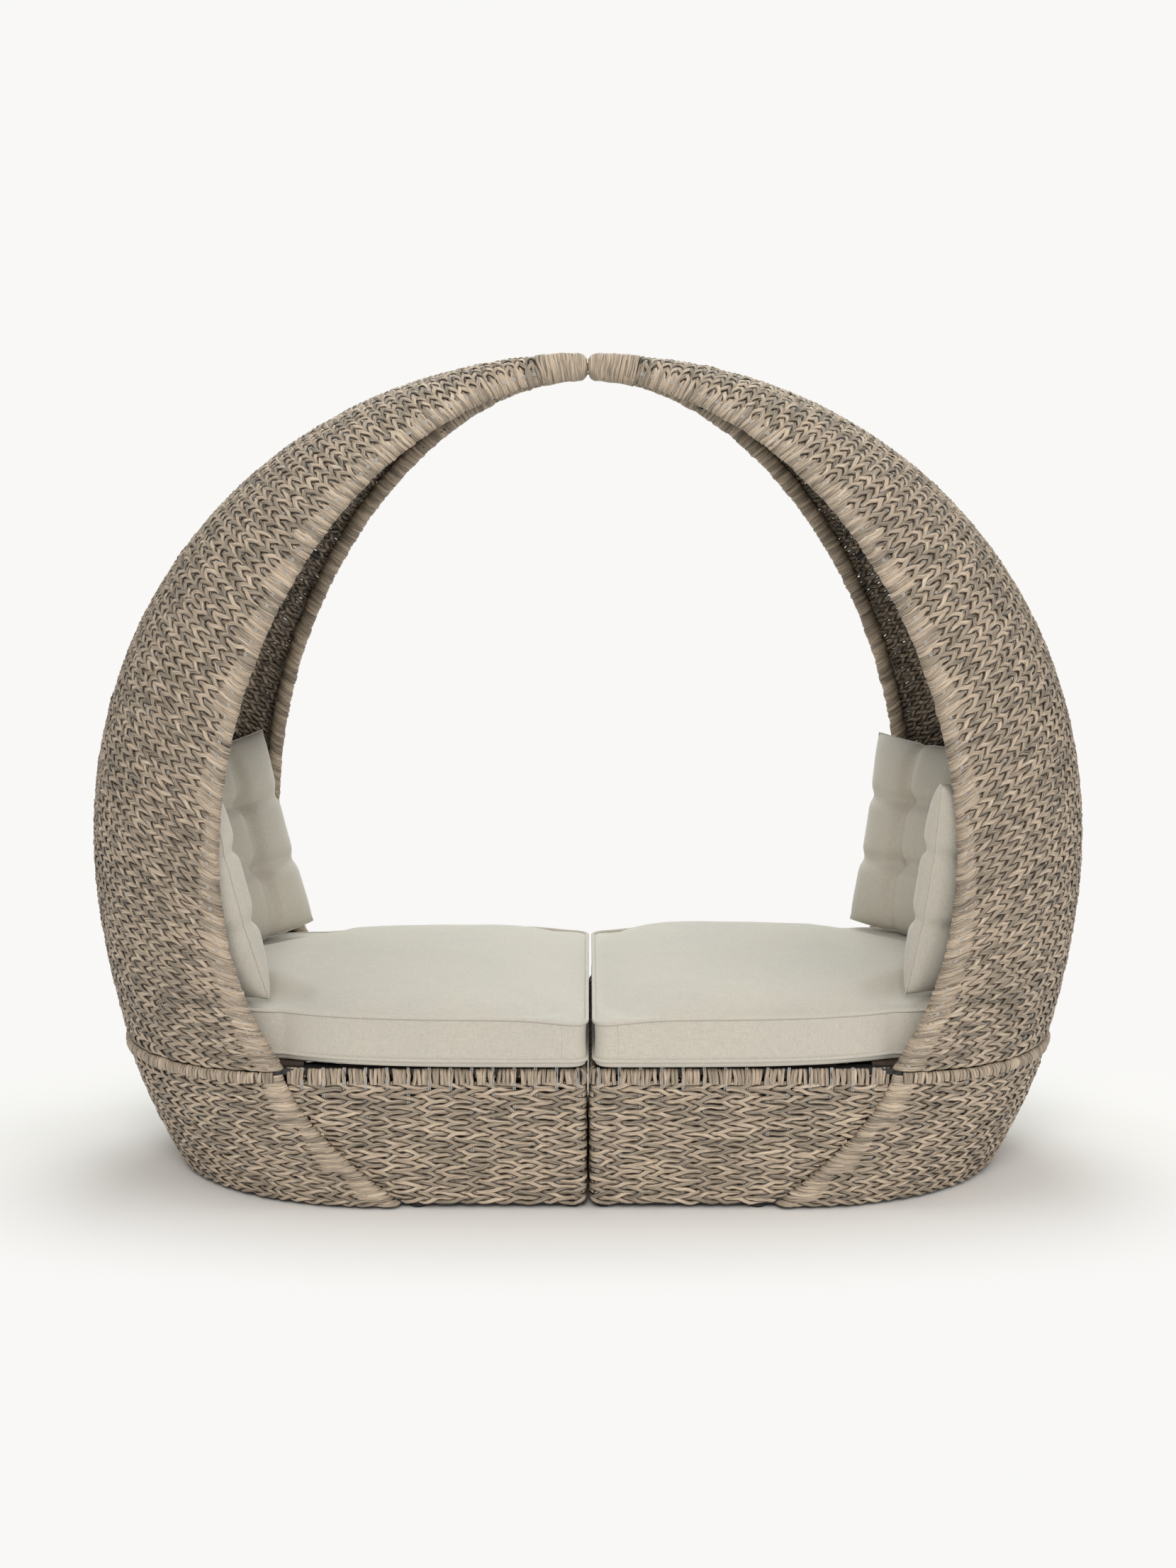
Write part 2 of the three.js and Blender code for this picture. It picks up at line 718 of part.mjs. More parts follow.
// side is -1 for the cushion at the front and 1 for the one at the rear
function backCushion(side, { shift, lean, riseShare }) {
  const outward = new THREE.Vector3(Math.cos(backTurn), side * Math.sin(backTurn), 0);
  const across = new THREE.Vector3(Math.sin(backTurn), -side * Math.cos(backTurn), 0);
  const up = new THREE.Vector3(0, 0, Math.cos(lean)).addScaledVector(outward, Math.sin(lean));
  const through = across.clone().cross(up).multiplyScalar(-side);
  const lift = seatBottom + seatThickness + riseShare * seatCrown + touchGap;
  const middle = new THREE.Vector3(backFootX + shift, side * backFootY, lift);
  middle.addScaledVector(up, backHeight / 2);
  const faces = [1, -1].map((face) => {
    const rows = [];
    for (let row = 0; row <= backCells; row += 1) {
      const upShare = 1 - (2 * row) / backCells;
      const points = [];
      for (let column = 0; column <= backCells; column += 1) {
        const acrossShare = side * (1 - (2 * column) / backCells);
        const width = backWidth / 2 - backDrawIn * (1 - upShare ** 2);
        const height = backHeight / 2 - backDrawIn * (1 - acrossShare ** 2);
        const puff = (backSeam + (backThickness - backSeam) * backShare(acrossShare, upShare)) / 2;
        const point = middle.clone().addScaledVector(across, acrossShare * width);
        point.addScaledVector(up, upShare * height).addScaledVector(through, face * puff);
        points.push(point);
      }
      rows.push(points);
    }
    return rows;
  });
  return gridSolid(faces[0], faces[1]);
}

// Materials

const finishes = {
  weave: { color: 0xa59a83, roughness: 0.75, metalness: 0 },
  wrap: { color: 0xafa48c, roughness: 0.72, metalness: 0 },
  frame: { color: 0x2a2a2b, roughness: 0.45, metalness: 0.6 },
  slats: { color: 0x8a6a45, roughness: 0.7, metalness: 0 },
  steel: { color: 0xb4b4b2, roughness: 0.3, metalness: 1 },
  foot: { color: 0x141414, roughness: 0.6, metalness: 0 },
  fabric: { color: 0xbdb5a6, roughness: 0.95, metalness: 0 },
};

function halfPieces(back) {
  const bolts = boltPlaces();
  const railMiddle = railDepth - railWidth / 2;
  const outerFootX = baseSpineX(bottomRailBottom) - weaveThickness - touchGap - railWidth / 2;
  const smallFootX = railEnd + railWidth / 2;
  return [
    ['hood_front_rim_tube', rimTube(-1), finishes.frame],
    ['hood_rear_rim_tube', rimTube(1), finishes.frame],
    ['hood_front_rim_wrap', rimWrap(-1), finishes.wrap],
    ['hood_rear_rim_wrap', rimWrap(1), finishes.wrap],
    ['hood_tip_wrap', tipWrap(), finishes.wrap],
    ['hood_weave', hoodWeave(), finishes.weave],
    ['hood_mid_rib', hoodRib(midRibRow), finishes.frame],
    ['hood_low_rib', hoodRib(lowRibRow), finishes.frame],
    ['hood_foot_rail', hoodRail(), finishes.frame],
    ['hood_bolt_front', hoodBolt(bolts[0]), finishes.steel],
    ['hood_bolt_side', hoodBolt(bolts[1]), finishes.steel],
    ['hood_bolt_rear', hoodBolt(bolts[2]), finishes.steel],
    ['base_frame', baseFrame(), finishes.frame],
    ['base_front_rim_wrap', baseRimWrap(-1), finishes.wrap],
    ['base_rear_rim_wrap', baseRimWrap(1), finishes.wrap],
    ['base_weave', baseWeave(), finishes.weave],
    ['base_front_panel', sidePanel(-1), finishes.weave],
    ['base_rear_panel', sidePanel(1), finishes.weave],
    ['base_end_panel', endPanel(), finishes.weave],
    ['base_top_border', topBorder(), finishes.wrap],
    ['seat_deck', seatDeck(), finishes.slats],
    ['foot_end_front', foot(smallFootRadius, new THREE.Vector2(smallFootX, -railMiddle)), finishes.foot],
    ['foot_end_rear', foot(smallFootRadius, new THREE.Vector2(smallFootX, railMiddle)), finishes.foot],
    ['foot_middle_front', foot(wideFootRadius, new THREE.Vector2(wideFootPlace, -railMiddle)), finishes.foot],
    ['foot_middle_rear', foot(wideFootRadius, new THREE.Vector2(wideFootPlace, railMiddle)), finishes.foot],
    ['foot_outer', foot(wideFootRadius, new THREE.Vector2(outerFootX, 0)), finishes.foot],
    ['seat_cushion', seatCushion(), finishes.fabric],
    ['back_cushion_front', backCushion(-1, back), finishes.fabric],
    ['back_cushion_rear', backCushion(1, back), finishes.fabric],
  ];
}

function mirrored(geometry) {
  const copy = geometry.clone().applyMatrix4(new THREE.Matrix4().makeScale(-1, 1, 1));
  const corners = copy.index.array;
  for (let corner = 0; corner < corners.length; corner += 3) {
    [corners[corner + 1], corners[corner + 2]] = [corners[corner + 2], corners[corner + 1]];
  }
  return copy;
}

const daybed = new THREE.Group();
[['left', -1, leftBack], ['right', 1, rightBack]].forEach(([label, side, back]) => {
  const half = new THREE.Group();
  half.position.x = side * halfGap;
  halfPieces(back).forEach(([name, geometry, finish]) => {
    const shape = side < 0 ? mirrored(plain(geometry)) : plain(geometry);
    shape.computeVertexNormals();
    const mesh = new THREE.Mesh(shape, new THREE.MeshStandardMaterial({ ...finish, flatShading: true }));
    mesh.name = `${label}_${name}`;
    half.add(mesh);
  });
  daybed.add(half);
});

export default daybed;
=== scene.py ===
import math

import bpy
import numpy as np
from bpy.props import FloatProperty, FloatVectorProperty, IntProperty, PointerProperty
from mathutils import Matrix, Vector


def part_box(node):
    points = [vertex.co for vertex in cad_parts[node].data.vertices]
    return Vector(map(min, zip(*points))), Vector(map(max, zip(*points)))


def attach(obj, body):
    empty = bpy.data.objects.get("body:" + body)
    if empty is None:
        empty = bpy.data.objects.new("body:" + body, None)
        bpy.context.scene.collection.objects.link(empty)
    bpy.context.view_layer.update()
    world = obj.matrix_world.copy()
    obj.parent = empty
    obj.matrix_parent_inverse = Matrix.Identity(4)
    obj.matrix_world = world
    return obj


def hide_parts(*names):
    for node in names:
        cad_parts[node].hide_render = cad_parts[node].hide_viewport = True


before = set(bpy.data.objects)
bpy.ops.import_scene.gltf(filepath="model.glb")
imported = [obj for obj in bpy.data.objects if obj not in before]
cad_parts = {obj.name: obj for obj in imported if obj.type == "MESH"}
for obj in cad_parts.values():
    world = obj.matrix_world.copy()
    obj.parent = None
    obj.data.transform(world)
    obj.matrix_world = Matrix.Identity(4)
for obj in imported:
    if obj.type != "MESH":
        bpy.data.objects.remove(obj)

bl_info = {
    "name": "Cocoon daybed dresser",
    "version": (1, 0, 0),
    "blender": (4, 5, 0),
    "location": "3D View > Sidebar > Daybed",
    "description": "Weaves, wraps, pads and finishes a two-part cocoon daybed round its packed frame",
    "category": "Object",
}

# Lengths are metres. Each piece is drawn for the half at +X and laid out for both halves by their sign.

HALVES = {"left": -1, "right": 1}
BODIES = {"left": "left_module", "right": "right_module"}
SIDES = (("front", -1), ("rear", 1))
UP = np.array([0.0, 0.0, 1.0])

# The shell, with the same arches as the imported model
HALF_GAP = 0.00015
SPLIT_HEIGHT = 0.300
SPINE = {"reach": 1.095, "top": 1.784, "middle": 0.710, "drop": 1.570, "powers": (2.06, 1.76)}
RIM = {"reach": 0.773, "top": 1.748, "middle": 0.729, "drop": 0.761, "powers": (1.87, 2.1)}
RIM_DEPTH = 0.427
TIP_DEPTH = 0.0143
SPREAD_RISE = 6.5
SPREAD_POWER = 3.6
TIP_SHARE = 0.06
TUBE_RADIUS = 0.014
WRAP_RADIUS = 0.018
SKIN_THICKNESS = 0.008
SKIN_MIDDLE = SKIN_THICKNESS / 2
FOOT_HEIGHT = 0.010
WEAVE_FLOOR = 0.008
BASE_RIM_FOOT = 0.420
BASE_SPINE_FOOT = 0.924
BASE_RIM_POWER = 1.6
BASE_SPINE_POWER = 1.35
BASE_SETBACK = 0.003
PANEL_DEPTH = RIM_DEPTH + WRAP_RADIUS - 0.008
BORDER_BOTTOM = 0.272
BORDER_TOP = 0.308


# Settings


class StrandSettings(bpy.types.PropertyGroup):
    """How the strands are twined"""

    hood_pitch: FloatProperty(
        name="Hood row pitch", description="From one twined row to the next", default=0.0128, unit="LENGTH"
    )
    base_pitch: FloatProperty(
        name="Base row pitch", description="From one twined row to the next", default=0.0115, unit="LENGTH"
    )
    hood_stakes: FloatProperty(
        name="Hood stake pitch", description="From one upright wire to the next", default=0.031, unit="LENGTH"
    )
    base_stakes: FloatProperty(
        name="Base stake pitch", description="From one upright wire to the next", default=0.044, unit="LENGTH"
    )
    reach: FloatProperty(
        name="Swing", description="How far a strand swings out round a stake", default=0.0031, unit="LENGTH"
    )
    rise_share: FloatProperty(
        name="Rise share",
        description="How far a strand climbs, of the row pitch",
        default=0.5,
        subtype="FACTOR",
    )
    roll_share: FloatProperty(
        name="Roll share", description="How much a strand rolls as it crosses", default=0.7, subtype="FACTOR"
    )
    hood_width: FloatProperty(
        name="Hood strand", description="Width of a flat strand in the hood", default=0.0124, unit="LENGTH"
    )
    base_width: FloatProperty(
        name="Base strand", description="Width of a flat strand in the base", default=0.0109, unit="LENGTH"
    )
    thickness: FloatProperty(
        name="Strand thickness", description="Of a flat strand", default=0.0034, unit="LENGTH"
    )
    unevenness: FloatProperty(
        name="Unevenness", description="How far strands stray from their line", default=0.0068, unit="LENGTH"
    )
    wire_radius: FloatProperty(
        name="Wire radius", description="Of the upright wires", default=0.0014, unit="LENGTH"
    )
    light: FloatVectorProperty(
        name="Light strand",
        description="Colour of the palest strands",
        subtype="COLOR",
        default=(0.69, 0.588, 0.462),
    )
    middle: FloatVectorProperty(
        name="Middle strand",
        description="Colour of most strands",
        subtype="COLOR",
        default=(0.375, 0.311, 0.236),
    )
    dark: FloatVectorProperty(
        name="Dark strand",
        description="Colour of the darkest strands",
        subtype="COLOR",
        default=(0.105, 0.085, 0.065),
    )
    seed: IntProperty(name="Seed", description="Of every random draw in the weave", default=7)


class CushionSettings(bpy.types.PropertyGroup):
    """How the cushions are padded"""

    fabric: FloatVectorProperty(
        name="Fabric", description="Colour of the cushions", subtype="COLOR", default=(0.560, 0.530, 0.460)
    )
    piping_radius: FloatProperty(
        name="Piping radius", description="Of the sewn cord", default=0.0042, unit="LENGTH"
    )
    swell: FloatProperty(
        name="Swell", description="The most that the padding moves the cloth", default=0.022, unit="LENGTH"
    )


class StageSettings(bpy.types.PropertyGroup):
    """The camera and its floor"""

    distance: FloatProperty(
        name="Camera distance", description="In front of the daybed", default=4.646, unit="LENGTH"
    )
    height: FloatProperty(name="Camera height", description="Over the floor", default=1.477, unit="LENGTH")
    pitch: FloatProperty(
        name="Camera pitch", description="Below the horizon", default=math.radians(7.836), subtype="ANGLE"
    )
    lens: FloatProperty(name="Lens", description="Focal length in millimetres", default=48.01)
    floor: FloatVectorProperty(
        name="Floor", description="Its colour", subtype="COLOR", default=(0.947, 0.939, 0.922)
    )


# The shell's surfaces

SQUARE_START = 0.03  # near the tip the rows run square to the rim, further down from arch to arch
SQUARE_END = 0.50
SQUARE_SAMPLES = 1200
SQUARE_POINTS = 90
RIM_STEP = 0.002  # between the places that give a direction, as a share of the arch or as a height
SECTION_STEP = 0.004
HEIGHT_STEP = 0.002
WRAP_END = math.radians(290)  # how far a strand goes on round the rim tube
TABLE_STEPS = 240
QUARTER = np.linspace(0, math.pi / 2, TABLE_STEPS)


def smooth_step(low, high, values):
    share = np.clip((values - low) / (high - low), 0, 1)
    return share * share * (3 - 2 * share)


def unit(vectors):
    return vectors / np.maximum(np.linalg.norm(vectors, axis=1, keepdims=True), 1e-9)


def running_lengths(points):
    """Length of a line up to each of its points"""
    return np.concatenate([[0], np.cumsum(np.linalg.norm(np.diff(points, axis=0), axis=1))])


def arch(reach, top, middle, drop, powers):
    """A function that gives the place on an arch, from 0 at the tip to 1 at the split height"""
    last = -math.asin(((middle - SPLIT_HEIGHT) / drop) ** (powers[1] / 2))

    def place(share):
        angle = math.pi / 2 + (last - math.pi / 2) * share
        power = 2 / powers[0] if angle > 0 else 2 / powers[1]
        span = top - middle if angle > 0 else drop
        rise = math.copysign(span * abs(math.sin(angle)) ** power, angle)
        return np.array([reach * abs(math.cos(angle)) ** power, 0.0, middle + rise])

    return place


spine_place = arch(**SPINE)
rim_place = arch(**RIM)
RIM_SPLIT = float(rim_place(1)[0])
SPINE_SPLIT = float(spine_place(1)[0])


def square_shares(shares):
    """Shares of the spine at which a line square to the rim meets it"""
    table = np.linspace(0, 1, SQUARE_SAMPLES)
    spine = np.array([spine_place(share) for share in table])
    found = []
    for share in shares:
        along = rim_place(share + RIM_STEP) - rim_place(max(share - RIM_STEP, 0))
        ahead = (spine - rim_place(share)) @ along
        found.append(table[int(np.argmax(ahead > 0))])
    return np.array(found)


SHARES = np.linspace(0, SQUARE_END, SQUARE_POINTS)
SPINE_SHARES = SHARES + (square_shares(SHARES) - SHARES) * (1 - smooth_step(SQUARE_START, SQUARE_END, SHARES))
SPINE_SHARES[0] = 0.0


def rim_depth(share):
    spread = (1 - max(0.0, 1 - share) ** SPREAD_RISE) ** SPREAD_POWER
    return TIP_DEPTH + (RIM_DEPTH - TIP_DEPTH) * spread


def base_x(height, foot, split, power):
    fall = max(0.0, 1 - (height - FOOT_HEIGHT) / (SPLIT_HEIGHT - FOOT_HEIGHT)) ** power
    return foot + (split - foot) * (1 - fall)


def base_rim_x(height):
    return base_x(height, BASE_RIM_FOOT, RIM_SPLIT, BASE_RIM_POWER)


def base_spine_x(height):
    return base_x(height, BASE_SPINE_FOOT, SPINE_SPLIT, BASE_SPINE_POWER)


def hood_section(share):
    """The half oval of the hood's skin at a share of its arch"""
    rim = rim_place(share)
    spine_share = float(np.interp(share, SHARES, SPINE_SHARES)) if share < SQUARE_END else share
    outward = spine_place(spine_share) - rim
    reach = float(np.linalg.norm(outward))
    outward /= reach
    along = rim_place(share + SECTION_STEP) - rim_place(share - SECTION_STEP)
    along /= np.linalg.norm(along)
    slant = float(np.linalg.norm(np.cross(outward, along)))
    return {"rim": rim, "outward": outward, "reach": reach, "depth": rim_depth(share), "stretch": 1 / slant}


def base_section(height):
    """The half oval of the base's skin at a height"""
    rim = np.array([base_rim_x(height), 0.0, height])
    lean = (base_rim_x(height + HEIGHT_STEP) - base_rim_x(height - HEIGHT_STEP)) / (2 * HEIGHT_STEP)
    return {
        "rim": rim,
        "outward": np.array([1.0, 0.0, 0.0]),
        "reach": base_spine_x(height) - base_rim_x(height),
        "depth": RIM_DEPTH,
        "stretch": math.hypot(1, lean),
    }


def quarter_length(section):
    """Length of the skin from the spine to the rim, and the table that gives an angle for a length"""
    reach = section["reach"] - SKIN_MIDDLE
    depth = section["depth"] + WRAP_RADIUS - SKIN_MIDDLE
    steps = np.hypot(np.diff(reach * np.cos(QUARTER)), np.diff(depth * np.sin(QUARTER)))
    lengths = np.concatenate([[0], np.cumsum(steps)])
    return lengths[-1], lengths


def section_points(section, fractions, insets):
    """Points of a section at signed shares of its quarter length; past 1 they go on round the rim tube"""
    length, lengths = quarter_length(section)
    size = np.abs(fractions)
    side = np.sign(fractions)
    angle = np.interp(np.minimum(size, 1) * length, lengths, QUARTER)
    out = (section["reach"] - insets) * np.cos(angle)
    across = (section["depth"] + WRAP_RADIUS - insets) * np.sin(angle)
    turned = math.pi / 2 + np.maximum(size - 1, 0)
    radius = WRAP_RADIUS - insets
    out = np.where(size > 1, section["stretch"] * radius * np.cos(turned), out)
    across = np.where(size > 1, section["depth"] + radius * np.sin(turned), across)
    points = section["rim"] + out[:, None] * section["outward"]
    points[:, 1] = side * across
    return points


# Guides: loose lines with the facts that the node trees read

FLOAT_FACTS = ("turn", "sway", "spread", "along", "strand")
KEPT_FACTS = ("along", "across", "tint", "stroke")


def guide(place, outward, upward, turn, sway, spread, strand):
    facts = {"turn": turn, "sway": sway, "spread": spread, "strand": strand}
    for fact, value in facts.items():
        facts[fact] = np.broadcast_to(np.asarray(value, float), (len(place),))
    return {"place": place, "outward": outward, "upward": upward, "along": running_lengths(place), **facts}


def plain_guide(place, facing, strand=0):
    """The guide of a line that isn't twined"""
    return guide(place, facing, facing, 0, 0, 1, strand)


def guide_mesh(name, side, guides, closed=False):
    """One mesh of loose lines for one half of the daybed"""
    place = np.concatenate([g["place"] for g in guides])
    place = (place + [HALF_GAP, 0, 0]) * [side, 1, 1]
    edges = []
    start = 0
    for g in guides:
        count = len(g["place"])
        first = np.arange(start, start + count - (0 if closed else 1))
        edges.append(np.stack([first, start + (first + 1 - start) % count], axis=1))
        start += count
    edges = np.concatenate(edges)
    mesh = bpy.data.meshes.new(name)
    mesh.vertices.add(len(place))
    mesh.vertices.foreach_set("co", place.astype(np.float32).ravel())
    mesh.edges.add(len(edges))
    mesh.edges.foreach_set("vertices", edges.astype(np.int32).ravel())
    for fact in ("outward", "upward"):
        values = np.concatenate([g[fact] for g in guides]) * [side, 1, 1]
        layer = mesh.attributes.new(fact, "FLOAT_VECTOR", "POINT")
        layer.data.foreach_set("vector", values.astype(np.float32).ravel())
    for fact in FLOAT_FACTS:
        values = np.concatenate([g[fact] for g in guides])
        layer = mesh.attributes.new(fact, "FLOAT", "POINT")
        layer.data.foreach_set("value", values.astype(np.float32))
    mesh.update()
    return mesh


# Node trees

PROFILE_TURN = math.radians(-90.0)
PROFILE_TOP = 0.55  # width of a flat strand's upper side, of its lower one
LAID_LIFT = 0.0012  # how far strands that lie side by side differ in height
LAID_LANE = 0.19  # how far they lie apart, of the row pitch, to either side of the row
WANDER_SCALE = 21.0
UNEVEN_SCALE = 38.0
STROKE_STEP = 37.0  # keeps the strokes of one strand apart from those of the next

STRAND_INPUTS = [
    ("Strand width", "NodeSocketFloat", 0.0124),
    ("Strand thickness", "NodeSocketFloat", 0.0034),
    ("Swing", "NodeSocketFloat", 0.0031),
    ("Rise share", "NodeSocketFloat", 0.5),
    ("Roll share", "NodeSocketFloat", 0.7),
    ("Wander", "NodeSocketFloat", 3.6),
    ("Unevenness", "NodeSocketFloat", 0.0068),
    ("Seed", "NodeSocketInt", 7),
    ("Material", "NodeSocketMaterial", None),
]
WIRE_INPUTS = [
    ("Wire radius", "NodeSocketFloat", 0.0014),
    ("Pair gap", "NodeSocketFloat", 0.0034),
    ("Sides", "NodeSocketInt", 4),
    ("Material", "NodeSocketMaterial", None),
]
CORD_INPUTS = [
    ("Cord radius", "NodeSocketFloat", 0.0042),
    ("Sides", "NodeSocketInt", 10),
    ("Material", "NodeSocketMaterial", None),
]


class Nodes:
    """A few calls that keep the building of a node tree short"""

    def __init__(self, tree):
        self.tree = tree

    def add(self, kind, values=None, **settings):
        node = self.tree.nodes.new(kind)
        for key, value in settings.items():
            setattr(node, key, value)
        for key, value in (values or {}).items():
            self.put(node.inputs[key], value)
        return node

    def put(self, socket, value):
        if isinstance(value, bpy.types.NodeSocket):
            self.tree.links.new(value, socket)
        else:
            socket.default_value = value

    def math(self, operation, *values):
        return self.add("ShaderNodeMath", dict(enumerate(values)), operation=operation).outputs[0]

    def vector(self, operation, *values):
        return self.add("ShaderNodeVectorMath", dict(enumerate(values)), operation=operation).outputs[0]


class LineTree(Nodes):
    """A geometry tree that turns the lines of a guide mesh into a piece"""

    def __init__(self, name, inputs):
        super().__init__(bpy.data.node_groups.new(name, "GeometryNodeTree"))
        face = self.tree.interface
        for way in ("INPUT", "OUTPUT"):
            face.new_socket("Geometry", in_out=way, socket_type="NodeSocketGeometry")
        for label, kind, value in inputs:
            socket = face.new_socket(label, in_out="INPUT", socket_type=kind)
            if value is not None:
                socket.default_value = value
        self.inputs = self.tree.nodes.new("NodeGroupInput").outputs
        self.output = self.tree.nodes.new("NodeGroupOutput").inputs[0]

    def scaled(self, vector, scale):
        values = {"Vector": vector, "Scale": scale}
        return self.add("ShaderNodeVectorMath", values, operation="SCALE").outputs[0]

    def attribute(self, name, kind="FLOAT"):
        node = self.add("GeometryNodeInputNamedAttribute", {"Name": name}, data_type=kind)
        return node.outputs["Attribute"]

    def random(self, low, high, key):
        values = {2: low, 3: high, "ID": key, "Seed": self.inputs["Seed"]}
        return self.add("FunctionNodeRandomValue", values, data_type="FLOAT").outputs[1]

    def stored(self, geometry, name, value):
        values = {"Geometry": geometry, "Name": name, "Value": value}
        return self.add("GeometryNodeStoreNamedAttribute", values, data_type="FLOAT").outputs[0]

    def moved(self, geometry, offset):
        return self.add("GeometryNodeSetPosition", {"Geometry": geometry, "Offset": offset}).outputs[0]

    def uneven(self, geometry):
        """Moves each line a little, so that no two strands lie alike"""
        noise = self.add("ShaderNodeTexNoise", {"Scale": UNEVEN_SCALE, "Detail": 1.0}, noise_dimensions="3D")
        offset = self.vector("SUBTRACT", noise.outputs["Color"], (0.5, 0.5, 0.5))
        return self.moved(geometry, self.scaled(offset, self.inputs["Unevenness"]))

    def flat_strand(self, geometry, normal, key):
        """Turns lines into flat strands that face along the normal"""
        width, thickness = self.inputs["Strand width"], self.inputs["Strand thickness"]
        curve = self.add("GeometryNodeMeshToCurve", {"Mesh": geometry}).outputs[0]
        free = self.add("GeometryNodeSetCurveNormal", {"Curve": curve, "Normal": normal}, mode="FREE")
        tinted = self.stored(free.outputs[0], "tint", self.random(0.0, 1.0, key))
        top = self.math("MULTIPLY", width, PROFILE_TOP)
        sizes = {"Height": thickness, "Bottom Width": width, "Top Width": top, "Offset": 0.0}
        profile = self.add("GeometryNodeCurvePrimitiveQuadrilateral", sizes, mode="TRAPEZOID")
        place = self.add("GeometryNodeInputPosition").outputs[0]
        side = self.add("ShaderNodeSeparateXYZ", {"Vector": place}).outputs[0]
        across = self.stored(profile.outputs[0], "across", self.math("DIVIDE", side, width))
        turned = self.add("GeometryNodeTransform", {"Geometry": across, "Rotation": (0.0, 0.0, PROFILE_TURN)})
        return self.swept(tinted, turned.outputs[0])

    def round_bar(self, geometry, radius):
        """Turns lines into round bars"""
        curve = self.add("GeometryNodeMeshToCurve", {"Mesh": geometry}).outputs[0]
        sizes = {"Resolution": self.inputs["Sides"], "Radius": radius}
        ring = self.add("GeometryNodeCurvePrimitiveCircle", sizes, mode="RADIUS")
        return self.swept(curve, ring.outputs[0])

    def swept(self, curve, profile):
        values = {"Curve": curve, "Profile Curve": profile, "Fill Caps": True}
        return self.add("GeometryNodeCurveToMesh", values).outputs[0]

    def finish(self, *parts):
        """Joins the parts and ends the tree with smooth shading, realized instances and the material"""
        geometry = parts[0]
        if len(parts) > 1:
            join = self.add("GeometryNodeJoinGeometry")
            for part in parts:
                self.tree.links.new(part, join.inputs[0])
            geometry = join.outputs[0]
        shaded = self.add("GeometryNodeSetShadeSmooth", {"Geometry": geometry}).outputs[0]
        real = self.add("GeometryNodeRealizeInstances", {"Geometry": shaded}).outputs[0]
        values = {"Geometry": real, "Material": self.inputs["Material"]}
        self.put(self.output, self.add("GeometryNodeSetMaterial", values).outputs[0])
        return self.tree


def twined_tree():
    """Two strands twist round each other along every line; where sway is 0 they lie flat side by side"""
    tree = LineTree("Twined strands", STRAND_INPUTS)
    inputs, math_of = tree.inputs, tree.math
    outward = tree.attribute("outward", "FLOAT_VECTOR")
    upward = tree.attribute("upward", "FLOAT_VECTOR")
    turn, sway, spread, strand = (tree.attribute(name) for name in ("turn", "sway", "spread", "strand"))
    still = math_of("SUBTRACT", 1.0, sway)
    here = tree.add("GeometryNodeInputPosition").outputs[0]
    noise = tree.add("ShaderNodeTexNoise", {"Vector": here, "Scale": WANDER_SCALE, "Detail": 0.0})
    drift = math_of("SUBTRACT", noise.outputs["Fac"], 0.5)
    wandered = math_of("ADD", turn, math_of("MULTIPLY", drift, inputs["Wander"]))
    plies = []
    for number, phase in ((1.0, 0.0), (0.0, math.pi)):
        angle = math_of("ADD", wandered, phase)
        cosine = math_of("MULTIPLY", math_of("COSINE", angle), sway)
        swing = math_of("SINE", angle)
        sine = math_of("MULTIPLY", swing, sway)
        lane = math_of("MULTIPLY", math_of("SIGN", swing), LAID_LANE)
        lane = math_of("MULTIPLY", math_of("MULTIPLY", spread, still), lane)
        rise = math_of("MULTIPLY", math_of("MULTIPLY", sine, spread), inputs["Rise share"])
        key = math_of("ADD", math_of("MULTIPLY", strand, 2.0), number)
        lift = math_of("MULTIPLY", tree.random(-LAID_LIFT, LAID_LIFT, key), still)
        out = math_of("ADD", math_of("MULTIPLY", cosine, inputs["Swing"]), lift)
        up = math_of("ADD", rise, lane)
        offset = tree.vector("ADD", tree.scaled(outward, out), tree.scaled(upward, up))
        moved = tree.uneven(tree.moved(inputs["Geometry"], offset))
        rolled = tree.scaled(upward, math_of("MULTIPLY", sine, inputs["Roll share"]))
        normal = tree.vector("NORMALIZE", tree.vector("ADD", outward, rolled))
        stroke = math_of("ADD", math_of("DIVIDE", angle, 2 * math.pi), math_of("MULTIPLY", key, STROKE_STEP))
        marked = tree.stored(moved, "stroke", math_of("ADD", stroke, 0.5))
        plies.append(tree.flat_strand(marked, normal, key))
    return tree.finish(*plies)


def wrapped_tree():
    """One flat strand along every line"""
    tree = LineTree("Wrapped strands", STRAND_INPUTS)
    moved = tree.uneven(tree.inputs["Geometry"])
    outward = tree.attribute("outward", "FLOAT_VECTOR")
    key = tree.attribute("strand")
    return tree.finish(tree.flat_strand(tree.stored(moved, "stroke", key), outward, key))


def wire_tree():
    """A pair of round wires along every line"""
    tree = LineTree("Wires", WIRE_INPUTS)
    upward = tree.attribute("upward", "FLOAT_VECTOR")
    wires = []
    for sign in (-0.5, 0.5):
        offset = tree.scaled(upward, tree.math("MULTIPLY", tree.inputs["Pair gap"], sign))
        moved = tree.moved(tree.inputs["Geometry"], offset)
        wires.append(tree.round_bar(moved, tree.inputs["Wire radius"]))
    return tree.finish(*wires)


def piping_tree():
    """A round cord or bar along every line"""
    tree = LineTree("Piping", CORD_INPUTS)
    return tree.finish(tree.round_bar(tree.inputs["Geometry"], tree.inputs["Cord radius"]))


TREE_MAKERS = {"twined": twined_tree, "wrapped": wrapped_tree, "wires": wire_tree, "piping": piping_tree}
TREES = {}


def link(name, mesh):
    piece = bpy.data.objects.new(name, mesh)
    bpy.context.scene.collection.objects.link(piece)
    return piece


